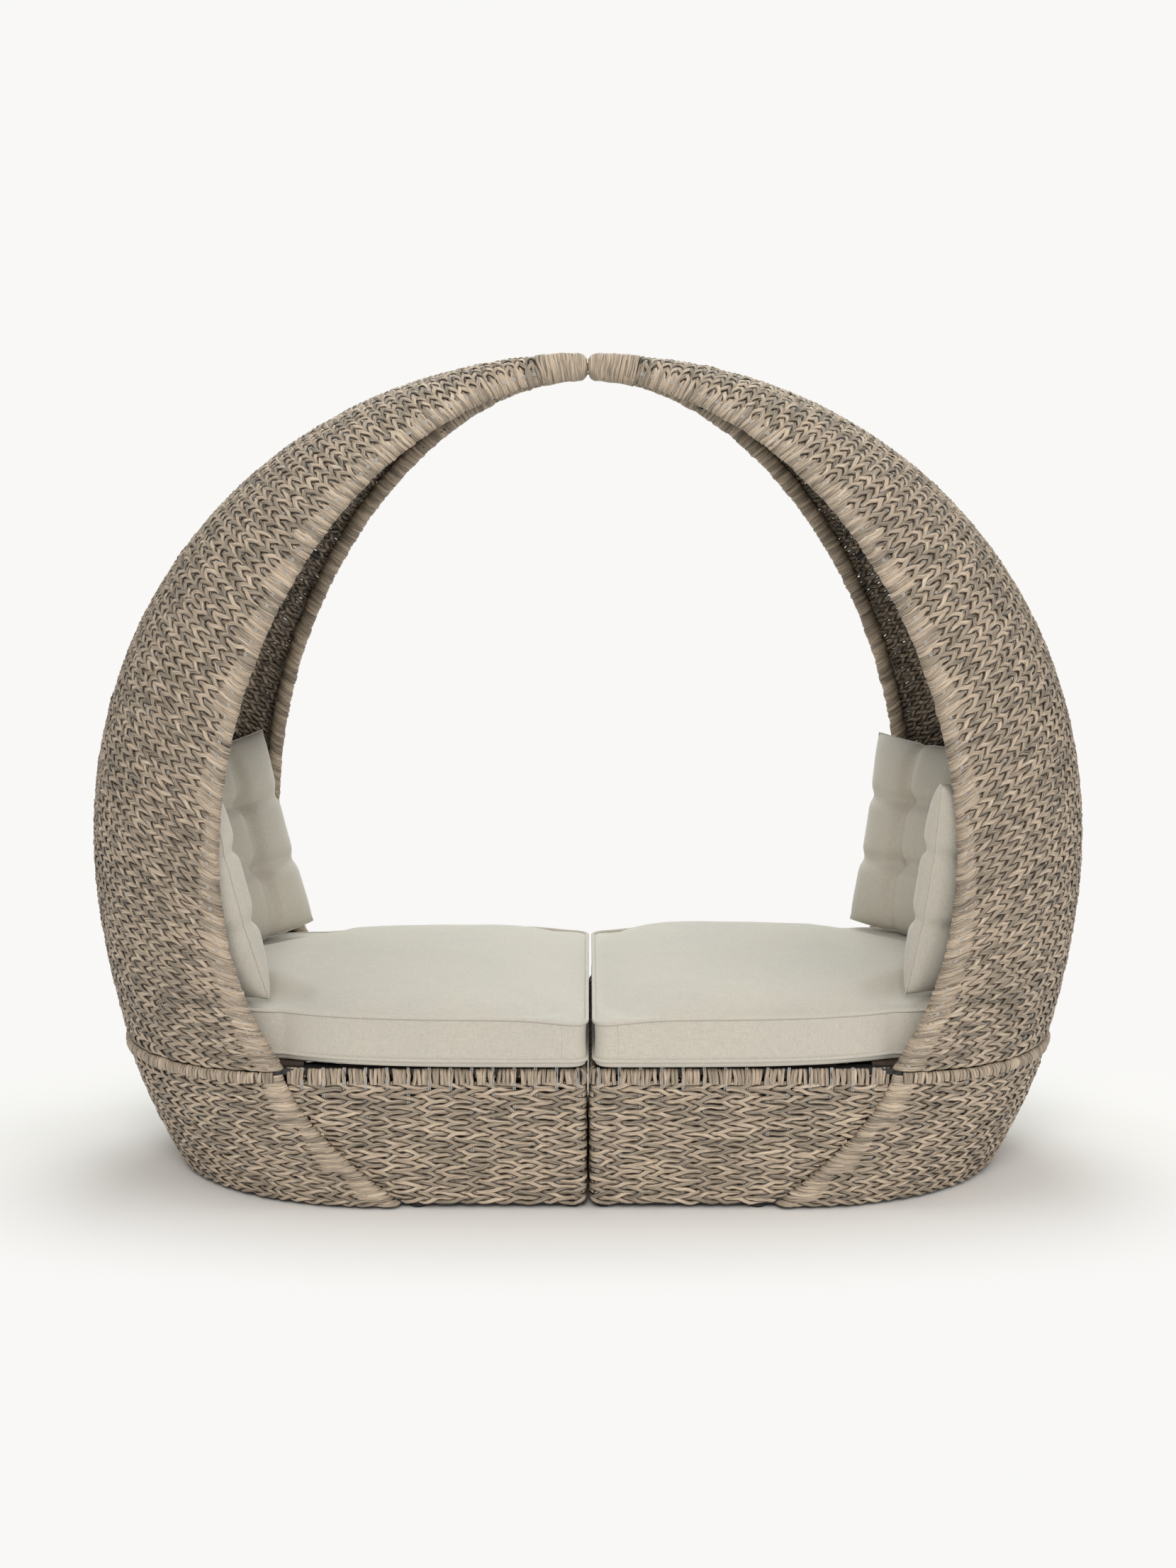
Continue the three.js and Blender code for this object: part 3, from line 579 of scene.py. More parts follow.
def closed_mesh(name, points, faces):
    mesh = bpy.data.meshes.new(name)
    mesh.from_pydata([tuple(point) for point in points], [], faces)
    mesh.validate()
    mesh.update()
    return mesh


def baked(name, mesh, tree, values):
    """Runs a tree on a guide mesh and returns a plain mesh piece"""
    if tree not in TREES:
        TREES[tree] = TREE_MAKERS[tree]()
    group = TREES[tree]
    holder = link(name + "_guide", mesh)
    modifier = holder.modifiers.new("Strands", "NODES")
    modifier.node_group = group
    for item in group.interface.items_tree:
        if item.item_type == "SOCKET" and item.in_out == "INPUT" and item.name in values:
            modifier[item.identifier] = values[item.name]
    depsgraph = bpy.context.evaluated_depsgraph_get()
    evaluated = holder.evaluated_get(depsgraph)
    result = bpy.data.meshes.new_from_object(evaluated, preserve_all_data_layers=True, depsgraph=depsgraph)
    bpy.data.objects.remove(holder)
    for fact in ("outward", "upward", *FLOAT_FACTS):
        if fact not in KEPT_FACTS and fact in result.attributes:
            result.attributes.remove(result.attributes[fact])
    result.name = name
    if not result.polygons:
        raise RuntimeError(f"{name}: its tree made no faces")
    return link(name, result)


def placed(piece, half, slot, *nodes):
    """Fastens a finished piece to its half"""
    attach(piece, BODIES[half])
    if nodes:
        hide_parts(*(f"{half}_{node}" for node in nodes))
    return piece


def laid(label, half, guides, tree, values, slot, *nodes, closed=False):
    """Runs a tree along guides for one half and fastens the piece to it"""
    name = f"{half}_{label}"
    mesh = guide_mesh(name, HALVES[half], guides, closed)
    return placed(baked(name, mesh, tree, values), half, slot, *nodes)


def corded(label, half, guides, radius, finish, slot, *nodes, closed=False, sides=None):
    """Lays round cords or bars along guides"""
    values = {"Cord radius": radius, "Material": finish_of(finish)}
    if sides:
        values["Sides"] = sides
    return laid(label, half, guides, "piping", values, slot, *nodes, closed=closed)


# Materials

STROKE_TONE = 0.14  # share of a strand's colour that changes from one visible stroke to the next
WRAP_TONE = 0.09
DRIFT_TONE = 0.20
FIBRE_SCALE = (24.0, 11.0, 1.0)
DRIFT_SCALE = (11.0, 0.6, 1.0)
STRAND_SPREAD = 97.0  # keeps the fibres of one strand apart from those of the next
STRAND_ROUGHNESS = 0.58
STRAND_GLOSS = {"To Min": 0.48, "To Max": 0.72}
STRAND_RELIEF = (1.0, 0.0022)  # strength and depth, here and below
STRAND_STOPS = {"dark": 0.36, "dim": 0.42, "grey": 0.465, "middle": 0.50, "warm": 0.555, "light": 0.64}
DIM_FACTOR = 0.68
GREY_FACTOR, GREY_LIFT = 0.86, 0.012
WARM_FACTORS = (0.86, 0.79, 0.74)
PAINTED_EDGE_SHADE_STOPS = ((0.27, (1.0, 1.0, 1.0)), (0.47, (0.19, 0.17, 0.15)))  # painted shade: a strand's colour darkens towards its edges, where it curves away from the light and into the gaps
LINEN_ROUGHNESS = 0.9
LINEN_SHEEN = {"Sheen Weight": 0.25, "Sheen Roughness": 0.6}
LINEN_DARK, LINEN_PALE = 0.80, 1.15
LINEN_CLOUDS = 5.0
LINEN_TONES = ((0.3, (0.95, 0.95, 0.96)), (0.7, (1.0, 0.995, 0.98)))
LINEN_RELIEF = (0.35, 0.0008)
THREAD_SCALES = ((60.0, 900.0, 900.0), (900.0, 60.0, 900.0), (900.0, 900.0, 60.0))
THREAD_RANGE = {"From Min": 1.05, "From Max": 1.95}
COAT_DARK, COAT_PALE, COAT_LIFT = 0.85, 1.2, 0.004
COAT_STOPS = (0.3, 0.7)
COAT_DEPTH = 0.0004
GLOSS_RANGE = 0.12
GLOSS_LEAST = 0.05
BOARD_ROUGHNESS = 0.6
BOARD_SCALE = (90.0, 6.0, 90.0)
BOARD_STOPS = ((0.3, 0.55), (0.55, 1.0), (0.8, 1.25))
BOARD_RELIEF = (0.3, 0.0006)

# finish: name, depth of colour, stroke tone
STRAND_FINISHES = {
    "strand": ("woven_strand", 1.0, STROKE_TONE),
    "base": ("base_strand", 1.17, STROKE_TONE),
    "wrap": ("wrapped_strand", 1.12, WRAP_TONE),
}
# finish: name, colour, roughness, metallic, scale of the grain, strength of the grain
COAT_FINISHES = {
    "wire": ("coated_wire", (0.44, 0.43, 0.41), 0.5, 0.0, 300.0, 0.1),
    "core": ("shadowed_core", (0.060, 0.048, 0.036), 0.8, 0.0, 300.0, 0.2),
    "frame": ("powder_coat", (0.018, 0.018, 0.019), 0.48, 0.0, 900.0, 0.25),
    "steel": ("plain_steel", (0.62, 0.62, 0.61), 0.3, 1.0, 250.0, 0.1),
    "foot": ("black_foot", (0.012, 0.012, 0.012), 0.65, 0.0, 500.0, 0.2),
}
# the deck's dark brown is partly a dark stain and partly painted shade, standing in for the shadow under the
# seat cushions
DECK_STAIN_AND_SHADE_COLOR = (0.060, 0.042, 0.030)


def shade(color, factor):
    return [part * factor for part in color]


class Shading(Nodes):
    """A material's nodes, with the steps that several finishes share"""

    def __init__(self, name, color, roughness, metallic=0.0):
        self.material = bpy.data.materials.new(name)
        self.material.use_nodes = True
        super().__init__(self.material.node_tree)
        self.shader = self.tree.nodes["Principled BSDF"]
        self.set(**{"Base Color": (*color, 1.0), "Roughness": roughness, "Metallic": metallic})

    def set(self, **values):
        for name, value in values.items():
            self.put(self.shader.inputs[name], value)

    def place(self):
        return self.add("ShaderNodeTexCoord").outputs["Object"]

    def noise(self, place, scale, detail=2.0):
        """Noise over a place; a scale of three numbers stretches it"""
        if isinstance(scale, tuple):
            place = self.add("ShaderNodeMapping", {"Vector": place, "Scale": scale}).outputs[0]
            scale = 1.0
        node = self.add("ShaderNodeTexNoise", {"Vector": place, "Scale": scale, "Detail": detail})
        return node.outputs["Fac"]

    def ramp(self, factor, *stops):
        node = self.add("ShaderNodeValToRGB", {0: factor})
        elements = node.color_ramp.elements
        while len(elements) < len(stops):
            elements.new(0.5)
        for element, (place, color) in zip(elements, stops):
            element.position = place
            element.color = (*color, 1.0)
        return node.outputs[0]

    def multiplied(self, first, second):
        values = {"Factor": 1.0, "A": first, "B": second}
        node = self.add("ShaderNodeMix", values, data_type="RGBA", blend_type="MULTIPLY")
        return node.outputs["Result"]

    def ranged(self, value, limits):
        return self.add("ShaderNodeMapRange", {"Value": value, **limits}).outputs[0]

    def bump(self, height, strength, distance):
        values = {"Height": height, "Strength": strength, "Distance": distance}
        self.set(Normal=self.add("ShaderNodeBump", values).outputs[0])


def strand_material(name, depth, stroke_tone):
    """Resin strand: fine fibres along it, a tone for each visible stroke, a slow drift, and painted shade
    along its edges
    """
    settings = bpy.context.scene.daybed_strands
    light, middle, dark = settings.light, settings.middle, settings.dark
    made = Shading(name, middle, STRAND_ROUGHNESS)
    along, across, tint, stroke = (
        made.add("ShaderNodeAttribute", attribute_name=fact).outputs["Fac"] for fact in KEPT_FACTS
    )
    lane = made.math("MULTIPLY_ADD", tint, STRAND_SPREAD, across)
    place = made.add("ShaderNodeCombineXYZ", {"X": along, "Y": lane}).outputs[0]
    fibre = made.noise(place, FIBRE_SCALE, 3.0)
    drift = made.noise(place, DRIFT_SCALE, 1.0)
    step = made.math("FLOOR", stroke)
    tone = made.add("ShaderNodeTexWhiteNoise", {"W": step}, noise_dimensions="1D").outputs["Value"]
    blend = made.math("MULTIPLY_ADD", fibre, 1.0 - DRIFT_TONE - stroke_tone, 0.0)
    blend = made.math("MULTIPLY_ADD", drift, DRIFT_TONE, blend)
    blend = made.math("MULTIPLY_ADD", tone, stroke_tone, blend)
    tones = {
        "dark": dark,
        "dim": shade(middle, DIM_FACTOR),
        "grey": [part * GREY_FACTOR + GREY_LIFT for part in middle],
        "middle": middle,
        "warm": [part * factor for part, factor in zip(light, WARM_FACTORS)],
        "light": light,
    }
    colors = made.ramp(blend, *((at, shade(tones[tone], depth)) for tone, at in STRAND_STOPS.items()))
    # painted shade: darkens the colour towards the strand's edges, standing in for the shade where it curves
    # away
    edge = made.ramp(made.math("ABSOLUTE", across), *PAINTED_EDGE_SHADE_STOPS)
    made.set(**{"Base Color": made.multiplied(colors, edge)})
    made.set(Roughness=made.ranged(fibre, STRAND_GLOSS))
    made.bump(fibre, *STRAND_RELIEF)
    return made.material


def linen_material(name):
    """Plain outdoor linen: slubbed threads both ways and a soft sheen"""
    color = tuple(bpy.context.scene.daybed_cushions.fabric)
    made = Shading(name, color, LINEN_ROUGHNESS)
    made.set(**LINEN_SHEEN)
    place = made.place()
    first, second, third = (made.noise(place, scale) for scale in THREAD_SCALES)
    threads = made.math("ADD", made.math("ADD", first, second), third)
    share = made.ranged(threads, THREAD_RANGE)
    pale = [min(1, part * LINEN_PALE) for part in color]
    colors = made.ramp(share, (0.0, shade(color, LINEN_DARK)), (0.5, color), (1.0, pale))
    tone = made.ramp(made.noise(place, LINEN_CLOUDS), *LINEN_TONES)
    made.set(**{"Base Color": made.multiplied(colors, tone)})
    made.bump(share, *LINEN_RELIEF)
    return made.material


def coat_material(name, color, roughness, metallic, grain, strength):
    """Powder coat, moulded rubber or worn steel: a fine grain and uneven gloss"""
    made = Shading(name, color, roughness, metallic)
    noise = made.noise(made.place(), grain, 4.0)
    tones = (shade(color, COAT_DARK), [min(1, part * COAT_PALE + COAT_LIFT) for part in color])
    low, high = max(GLOSS_LEAST, roughness - GLOSS_RANGE), min(1.0, roughness + GLOSS_RANGE)
    made.set(**{"Base Color": made.ramp(noise, *zip(COAT_STOPS, tones))})
    made.set(Roughness=made.ranged(noise, {"To Min": low, "To Max": high}))
    made.bump(noise, strength, COAT_DEPTH)
    return made.material


def wood_material(name, color):
    """Stained boards with grain along them; the deck's dark colour is partly its stain and partly painted
    shade
    """
    made = Shading(name, color, BOARD_ROUGHNESS)
    noise = made.noise(made.place(), BOARD_SCALE, 5.0)
    colors = made.ramp(noise, *((at, shade(color, factor)) for at, factor in BOARD_STOPS))
    made.set(**{"Base Color": colors})
    made.bump(noise, *BOARD_RELIEF)
    return made.material


MATERIALS = {}


def finish_of(name):
    """The shared materials, made when first asked for"""
    if name not in MATERIALS:
        if name in STRAND_FINISHES:
            MATERIALS[name] = strand_material(*STRAND_FINISHES[name])
        elif name in COAT_FINISHES:
            MATERIALS[name] = coat_material(*COAT_FINISHES[name])
        elif name == "slats":
            MATERIALS[name] = wood_material("stained_board", DECK_STAIN_AND_SHADE_COLOR)
        else:
            MATERIALS[name] = linen_material("linen")
    return MATERIALS[name]


def finished(piece, finish):
    """Smooths a piece and gives it its only material"""
    piece.data.polygons.foreach_set("use_smooth", np.ones(len(piece.data.polygons), bool))
    piece.data.update()
    piece.data.materials.clear()
    piece.data.materials.append(finish_of(finish))


# The woven skins

SAMPLES = 6  # points of a twined strand from one stake to the next
BAND = 0.012  # where the twining ends, before the rim
FADE = 0.012
BAND_STEP = 0.009
BAND_INSET = 0.0015
ROUND_POINTS = 10  # of a strand's way round the rim tube
ROW_SAMPLES = 400
ROW_GAUGE = 0.55  # where the hood's rows keep their pitch, on the way from the spine to the rim
HOOD_END = 0.9965
HOOD_PARTS = ("upper", "middle", "lower")
TIP_STAKES = 0.72  # pitch of the hood's stakes near the tip, of the full one
TIP_STAKES_GAIN = 0.28
TIP_STAKES_START = 0.05
TIP_STAKES_END = 0.45
ROUND_STAKES = 0.8  # pitch of the stakes of the base's round end, of that of its panels
BASE_LOW_ROW = WEAVE_FLOOR + 0.006
BASE_HIGH_ROW = 0.283
BESIDE = 0.01  # share of the skin's length on each side of a place, to find its direction
FEWEST_STATIONS = 3
DASH_PLACE = 0.005  # of the short wires, before the rim
DASH_STEPS = (-0.55, -0.25, 0.25, 0.55)
DASH_INSETS = (0.0045, -0.0004, -0.0004, 0.0045)
DASH_ROW = 40  # the rows here give the length of all short wires
BASE_STRANDS = 500  # first strand numbers, so that no two pieces draw alike
PANEL_STRANDS = 900
EDGE_STRANDS = 400


def strand_values(settings, width, finish):
    return {
        "Strand width": width,
        "Strand thickness": settings.thickness,
        "Swing": settings.reach,
        "Rise share": settings.rise_share,
        "Roll share": settings.roll_share,
        "Unevenness": settings.unevenness,
        "Seed": settings.seed,
        "Material": finish_of(finish),
    }


def wire_values(settings):
    return {"Wire radius": settings.wire_radius, "Material": finish_of("wire")}


def hand_of(index):
    """The way in which a row's strands twist, turned from row to row"""
    return 1 if index % 2 else -1


def twined_row(section_at, row, stake_pitch, row_step, hand, strand):
    """The guide of one twined row, rim to rim, going on round both rim tubes"""
    section = section_at(row)
    length, _ = quarter_length(section)
    crossings = max(0, math.floor((length - BAND) / stake_pitch - 0.5)) + 0.5
    last = round(crossings * SAMPLES)
    twined = np.arange(-last, last + 1) / SAMPLES * stake_pitch
    rest = length - twined[-1]
    count = max(2, round(rest / BAND_STEP))
    band = twined[-1] + rest * np.arange(1, count + 1) / count
    turned = 1 + np.linspace(0, WRAP_END, ROUND_POINTS + 1)[1:]
    tail = np.concatenate([band / length, turned])
    fractions = np.concatenate([-tail[::-1], twined / length, tail])
    reached = np.abs(fractions) * length
    sway = 1 - smooth_step(twined[-1], twined[-1] + FADE, reached)
    insets = BAND_INSET + (SKIN_MIDDLE - BAND_INSET) * sway
    place = section_points(section, fractions, insets)
    climb = section_points(section_at(row + row_step), fractions, insets) - place
    tangent = unit(np.gradient(place, axis=0))
    outward = unit(np.cross(tangent, climb))
    if outward[len(fractions) // 2] @ section["outward"] < 0:
        outward = -outward
    upward = unit(np.cross(outward, tangent)) * hand
    spread = np.abs(np.sum(climb * np.cross(outward, tangent), axis=1))
    turn = math.pi * np.clip(reached, 0, twined[-1]) / stake_pitch * np.sign(fractions)
    return guide(place, outward, upward, turn, sway, spread, strand)


def even_rows(place_at, low, high, pitch):
    """Values from low to high at which a surface's rows lie a pitch apart"""
    values = np.linspace(low, high, ROW_SAMPLES)
    lengths = running_lengths(np.array([place_at(value) for value in values]))
    count = round(lengths[-1] / pitch)
    return np.interp(np.linspace(0, lengths[-1], count + 1), lengths, values)


def hood_gauge(share):
    return section_points(hood_section(share), np.array([ROW_GAUGE]), np.array([SKIN_MIDDLE]))[0]


def hood_stake_pitch(share, settings):
    grown = float(smooth_step(TIP_STAKES_START, TIP_STAKES_END, share))
    return settings.hood_stakes * (TIP_STAKES + TIP_STAKES_GAIN * grown)


def stake_guides(section_at, rows, pitch_at):
    """Guides of the upright wires, each through the rows that reach it"""
    lines = {}
    for row in rows:
        length, _ = quarter_length(section_at(row))
        pitch = pitch_at(row)
        last = int((length - BAND) // pitch)
        for stake in range(-last, last + 1):
            lines.setdefault(stake, []).append((row, stake * pitch / length))
    guides = []
    for stake, stations in lines.items():
        if len(stations) < FEWEST_STATIONS:
            continue
        place = []
        tangent = []
        for row, fraction in stations:
            fractions = np.array([fraction - BESIDE, fraction, fraction + BESIDE])
            points = section_points(section_at(row), fractions, np.full(3, SKIN_MIDDLE))
            place.append(points[1])
            tangent.append(points[2] - points[0])
        guides.append(plain_guide(np.array(place), unit(np.array(tangent)), stake))
    return guides


def dash_guides(section_at, rows, row_step):
    """Short wires that show on the band beside the rims, one over each pair of rows"""
    guides = []
    for row in rows:
        section = section_at(row)
        length, _ = quarter_length(section)
        if length < BAND * 2:
            continue
        for side in (-1, 1):
            fraction = side * (length - DASH_PLACE) / length
            place = []
            for step, inset in zip(DASH_STEPS, DASH_INSETS):
                beside = section_at(row + step * row_step)
                place.append(section_points(beside, np.array([fraction]), np.array([inset]))[0])
            ends = np.array([fraction - BESIDE, fraction + BESIDE])
            near = section_points(section, ends, np.full(2, SKIN_MIDDLE))
            across = unit((near[1:] - near[:1]).repeat(len(place), axis=0))
            guides.append(plain_guide(np.array(place), across))
    return guides


def split(guides, parts):
    """Shares guides out into parts of like size, in order"""
    sizes = np.cumsum([len(g["place"]) for g in guides])
    bounds = [np.searchsorted(sizes, sizes[-1] * part / parts) for part in range(1, parts)]
    return [list(part) for part in np.split(np.array(guides, dtype=object), bounds)]


def weave_hood(settings):
    rows = even_rows(hood_gauge, TIP_SHARE, HOOD_END, settings.hood_pitch)
    guides = []
    for index, row in enumerate(rows):
        before, after = max(index - 1, 0), min(index + 1, len(rows) - 1)
        step = (rows[after] - rows[before]) / (after - before)
        pitch = hood_stake_pitch(row, settings)
        guides.append(twined_row(hood_section, row, pitch, step, hand_of(index), index))
    stakes = stake_guides(hood_section, rows[::2], lambda row: hood_stake_pitch(row, settings))
    pairs = rows[: len(rows) // 2 * 2].reshape(-1, 2)
    between = (pairs[:, 0] + pairs[:, 1]) / 2
    dashes = dash_guides(hood_section, between, rows[DASH_ROW + 1] - rows[DASH_ROW])
    values = strand_values(settings, settings.hood_width, "strand")
    nodes = ("hood_weave", "hood_front_rim_wrap", "hood_rear_rim_wrap")
    for half in HALVES:
        for part, chunk in zip(HOOD_PARTS, split(guides, len(HOOD_PARTS))):
            laid(f"hood_weave_{part}", half, chunk, "twined", values, "weave", *nodes)
        laid("hood_stakes", half, stakes, "wires", wire_values(settings), "steel")
        laid("hood_band_wires", half, dashes, "wires", wire_values(settings), "steel")


def weave_base(settings):
    rows = even_rows(
        lambda height: np.array([base_spine_x(height), 0, height]),
        BASE_LOW_ROW,
        BASE_HIGH_ROW,
        settings.base_pitch,
    )
    pitch = settings.base_stakes * ROUND_STAKES
    guides = []
    for index, row in enumerate(rows):
        step = rows[1] - rows[0] if index == 0 else row - rows[index - 1]
        guides.append(twined_row(base_section, row, pitch, step, hand_of(index), BASE_STRANDS + index))
    stakes = stake_guides(base_section, rows[::2], lambda row: pitch)
    values = strand_values(settings, settings.base_width, "base")
    nodes = ("base_weave", "base_front_rim_wrap", "base_rear_rim_wrap")
    for half in HALVES:
        laid("base_weave_round", half, guides, "twined", values, "weave", *nodes)
        laid("base_stakes", half, stakes, "wires", wire_values(settings), "steel")


# Flat panels: rows that run round the open end in a U

CORNER_RADIUS = 0.016
PANEL_SINK = 0.0100  # how far a panel dips before it meets the rim
PANEL_FADE = 0.050
PANEL_STOP = 0.85  # where its strands end, in radii of the wrapped rim
PANEL_TOP_ROWS = [0.2655, 0.2515, 0.2375]
PANEL_FLOOR = WEAVE_FLOOR + 0.004
STAKE_TOP = BORDER_TOP - 0.004
# from here on, each level is an inset from the wall and a height, and for a wrap also its tilt
LOOP_LEVELS = [
    (0.0030, 0.2540),
    (-0.0030, 0.2610),
    (-0.0044, 0.2680),
    (-0.0044, 0.2790),
    (-0.0024, 0.2845),
    (0.0040, 0.2860),
]
BORDER_LEVELS = [
    (0.0000, 0.268, 0.0),
    (-0.0008, 0.278, 0.0),
    (-0.0010, 0.286, 0.0),
    (0.0006, 0.2930, 0.45),
    (0.0036, 0.2978, 1.0),
    (0.0078, 0.2990, 1.57),
    (0.0114, 0.2960, 2.4),
    (0.0125, 0.2900, 3.0),
    (0.0125, 0.2800, 3.14),
]
RIM_LEVELS = [
    (-0.0020, 0.2740, -0.1),
    (-0.0045, 0.2820, 0.0),
    (-0.0040, 0.2890, 0.5),
    (0.0000, 0.2945, 1.1),
    (0.0060, 0.2950, 1.8),
    (0.0100, 0.2900, 2.6),
    (0.0105, 0.2800, 3.1),
]
WRAP_PITCH = 0.0076
WRAP_WIDTH = 0.0098
WRAP_STRAY = 0.0012  # how far a wrap's place and its ends stray along the edge, at most
WRAP_LEAN = 0.0035
WRAP_INSET = 0.001
WIRE_WINDOW = 0.0026  # bare half width of the border beside a pair of wires
EDGE_HEIGHT = 0.29
EDGE_START = 0.004
EDGE_BESIDE = 0.001


class PanelPath:
    """The U of the base's open end at one height, by length from its middle"""

    def __init__(self, height, inset):
        self.end = BASE_SETBACK + inset
        self.radius = CORNER_RADIUS
        section = base_section(height)
        start = section["rim"][0] - WRAP_RADIUS * section["stretch"] * PANEL_STOP
        self.flat = PANEL_DEPTH - inset - self.radius
        self.bend = self.radius * math.pi / 2
        self.length = self.flat + self.bend + start - self.end - self.radius
        self.height = height

    def points(self, lengths):
        size = np.abs(lengths)
        side = np.sign(lengths)
        angle = np.clip((size - self.flat) / self.radius, 0, math.pi / 2)
        straight = np.maximum(size - self.flat - self.bend, 0)
        x = self.end + self.radius * (1 - np.cos(angle)) + straight
        sunk = PANEL_SINK * smooth_step(self.length - PANEL_FADE, self.length, size)
        y = side * (np.minimum(size, self.flat) + self.radius * np.sin(angle) - sunk)
        outward = np.stack([-np.cos(angle), side * np.sin(angle), np.zeros_like(x)], axis=1)
        return np.stack([x, y, np.full_like(x, self.height)], axis=1), outward


def panel_row(settings, height, index):
    """The guide of one twined row of the panels"""
    path = PanelPath(height, SKIN_MIDDLE)
    last = math.floor(path.length / settings.base_stakes * SAMPLES)
    lengths = np.arange(-last, last + 1) / SAMPLES * settings.base_stakes
    place, outward = path.points(lengths)
    upward = np.broadcast_to(UP * hand_of(index), place.shape)
    turn = math.pi * lengths / settings.base_stakes
    return guide(place, outward, upward, turn, 1, settings.base_pitch, PANEL_STRANDS + index)


def panel_wires(settings, heights):
    """Guides of the panels' upright wires, and of the loops that they end in over the border"""
    stakes = []
    loops = []
    wide = PanelPath(BORDER_BOTTOM, SKIN_MIDDLE)
    last = int(wide.length // settings.base_stakes)
    for stake in range(-last, last + 1):
        at = stake * settings.base_stakes
        paths = [PanelPath(height, SKIN_MIDDLE) for height in sorted((*heights[::2], STAKE_TOP))]
        paths = [path for path in paths if path.length > abs(at)]
        if len(paths) < 2:
            continue
        points = []
        for path in paths:
            point, outward = path.points(np.array([at]))
            points.append(point[0])
        across = np.cross(outward[0], UP)
        stakes.append(plain_guide(np.array(points), np.broadcast_to(across, (len(points), 3)), stake))
        foot = wide.points(np.array([at]))[0][0]
        foot[2] = 0
        loop = np.array([foot - outward[0] * inset + UP * height for inset, height in LOOP_LEVELS])
        loops.append(plain_guide(loop, np.broadcast_to(across, loop.shape)))
    return stakes, loops


def weave_panels(settings):
    low_start = PANEL_TOP_ROWS[-1] - settings.base_pitch
    heights = np.concatenate([PANEL_TOP_ROWS, np.arange(low_start, PANEL_FLOOR, -settings.base_pitch)])
    guides = [panel_row(settings, height, index) for index, height in enumerate(heights)]
    stakes, loops = panel_wires(settings, heights)
    values = strand_values(settings, settings.base_width, "base")
    nodes = ("base_front_panel", "base_rear_panel", "base_end_panel")
    for half in HALVES:
        laid("base_panels", half, guides, "twined", values, "weave", *nodes)
        laid("border_loops", half, loops, "wires", wire_values(settings), "steel")
        laid("panel_stakes", half, stakes, "wires", wire_values(settings), "steel")


def edge_wrap(base, outward, random, strand, levels):
    """One strand that goes up a wall, over its edge and down inside"""
    base = base * [1, 1, 0]
    along = np.cross(outward, UP)
    lean = random.uniform(-WRAP_LEAN, WRAP_LEAN)
    place = []
    facing = []
    for index, (inset, height, tilt) in enumerate(levels):
        shift = lean * (1 - 2 * index / (len(levels) - 1))
        place.append(base + along * shift - outward * inset + np.array([0, 0, height]))
        facing.append(outward * math.cos(tilt) + np.array([0, 0, math.sin(tilt)]))
    return plain_guide(np.array(place), unit(np.array(facing)), strand)


def border_guides(settings, random):
    """Wraps of the upper border, with a bare window at each pair of wires"""
    path = PanelPath(BORDER_BOTTOM, WRAP_INSET)
    lengths = np.arange(-path.length, path.length, WRAP_PITCH)
    lengths = lengths + random.uniform(-WRAP_STRAY, WRAP_STRAY, len(lengths))
    points, outward = path.points(lengths)
    pitches = lengths / settings.base_stakes
    from_wire = np.abs(pitches - np.round(pitches)) * settings.base_stakes
    return [
        edge_wrap(points[index], outward[index], random, index, BORDER_LEVELS)
        for index in range(len(lengths))
        if from_wire[index] >= WIRE_WINDOW
    ]


def rim_guides(random):
    """Wraps of the edge under the hood, round the base's end"""
    section = base_section(EDGE_HEIGHT)
    length, _ = quarter_length(section)
    guides = []
    for index, reached in enumerate(np.arange(-length + EDGE_START, length, WRAP_PITCH)):
        fractions = np.array([reached - EDGE_BESIDE, reached, reached + EDGE_BESIDE]) / length
        points = section_points(section, fractions, np.zeros(3))
        outward = unit(np.cross([points[2] - points[0]], [UP]))[0]
        guides.append(edge_wrap(points[1], outward, random, EDGE_STRANDS + index, RIM_LEVELS))
    return guides


def wrap_edges(settings):
    random = np.random.default_rng(settings.seed)
    values = strand_values(settings, WRAP_WIDTH, "wrap")
    for half in HALVES:
        border = border_guides(settings, random)
        laid("base_border_wraps", half, border, "wrapped", values, "wrap", "base_top_border")
        laid("base_edge_wraps", half, rim_guides(random), "wrapped", values, "wrap")


# The tips, where the wraps go round both rim tubes

TIP_PITCH = 0.0068
TIP_WIDTH = 0.0092
TIP_START = 0.0004
TIP_POINTS = 28
TIP_ROUND = 0.034  # length over which the end rounds off
TIP_ROUND_FACING = 1.6
TIP_SQUARENESS = 2.7  # of a wrap's section, which goes round two tubes
TIP_TILT = 0.05  # how far a wrap leans, at most
TIP_GROWTH = 0.0012
TIP_SPAN = 1.15  # how far the wraps go, of the bare tip's share
TIP_SAMPLES = 60
TIP_LEAST_SHARE = 0.0005
TIP_LEAST_SIZE = 0.0004
CORE_INSET = 0.0036
CORE_SPAN = 1.2  # how far the core goes on under the hood's first rows
CORE_RINGS = 40


def tip_table(span):
    """Shares of the tip, and the length along the spine up to each"""
    shares = np.linspace(0, TIP_SHARE * span, TIP_SAMPLES)
    return shares, running_lengths(np.array([spine_place(share) for share in shares]))


def tip_ring(share, length, turn, growth):
    """One ring round both rim tubes near the tip, with its axes"""
    rounding = 1 - min(1.0, length / TIP_ROUND)
    size = math.sqrt(1 - rounding**2)
    section = hood_section(max(share, TIP_LEAST_SHARE))
    reach = (section["reach"] + WRAP_RADIUS) / 2
    depth = section["depth"] + WRAP_RADIUS
    squared = np.sign(turn) * np.abs(turn) ** (2 / TIP_SQUARENESS)
    up = squared[0] * max(reach * size + growth, TIP_LEAST_SIZE)
    across = squared[1] * max(depth * size + growth, TIP_LEAST_SIZE)
    centre = section["rim"] + section["outward"] * (section["reach"] - WRAP_RADIUS) / 2
    return section, rounding, centre, up, across


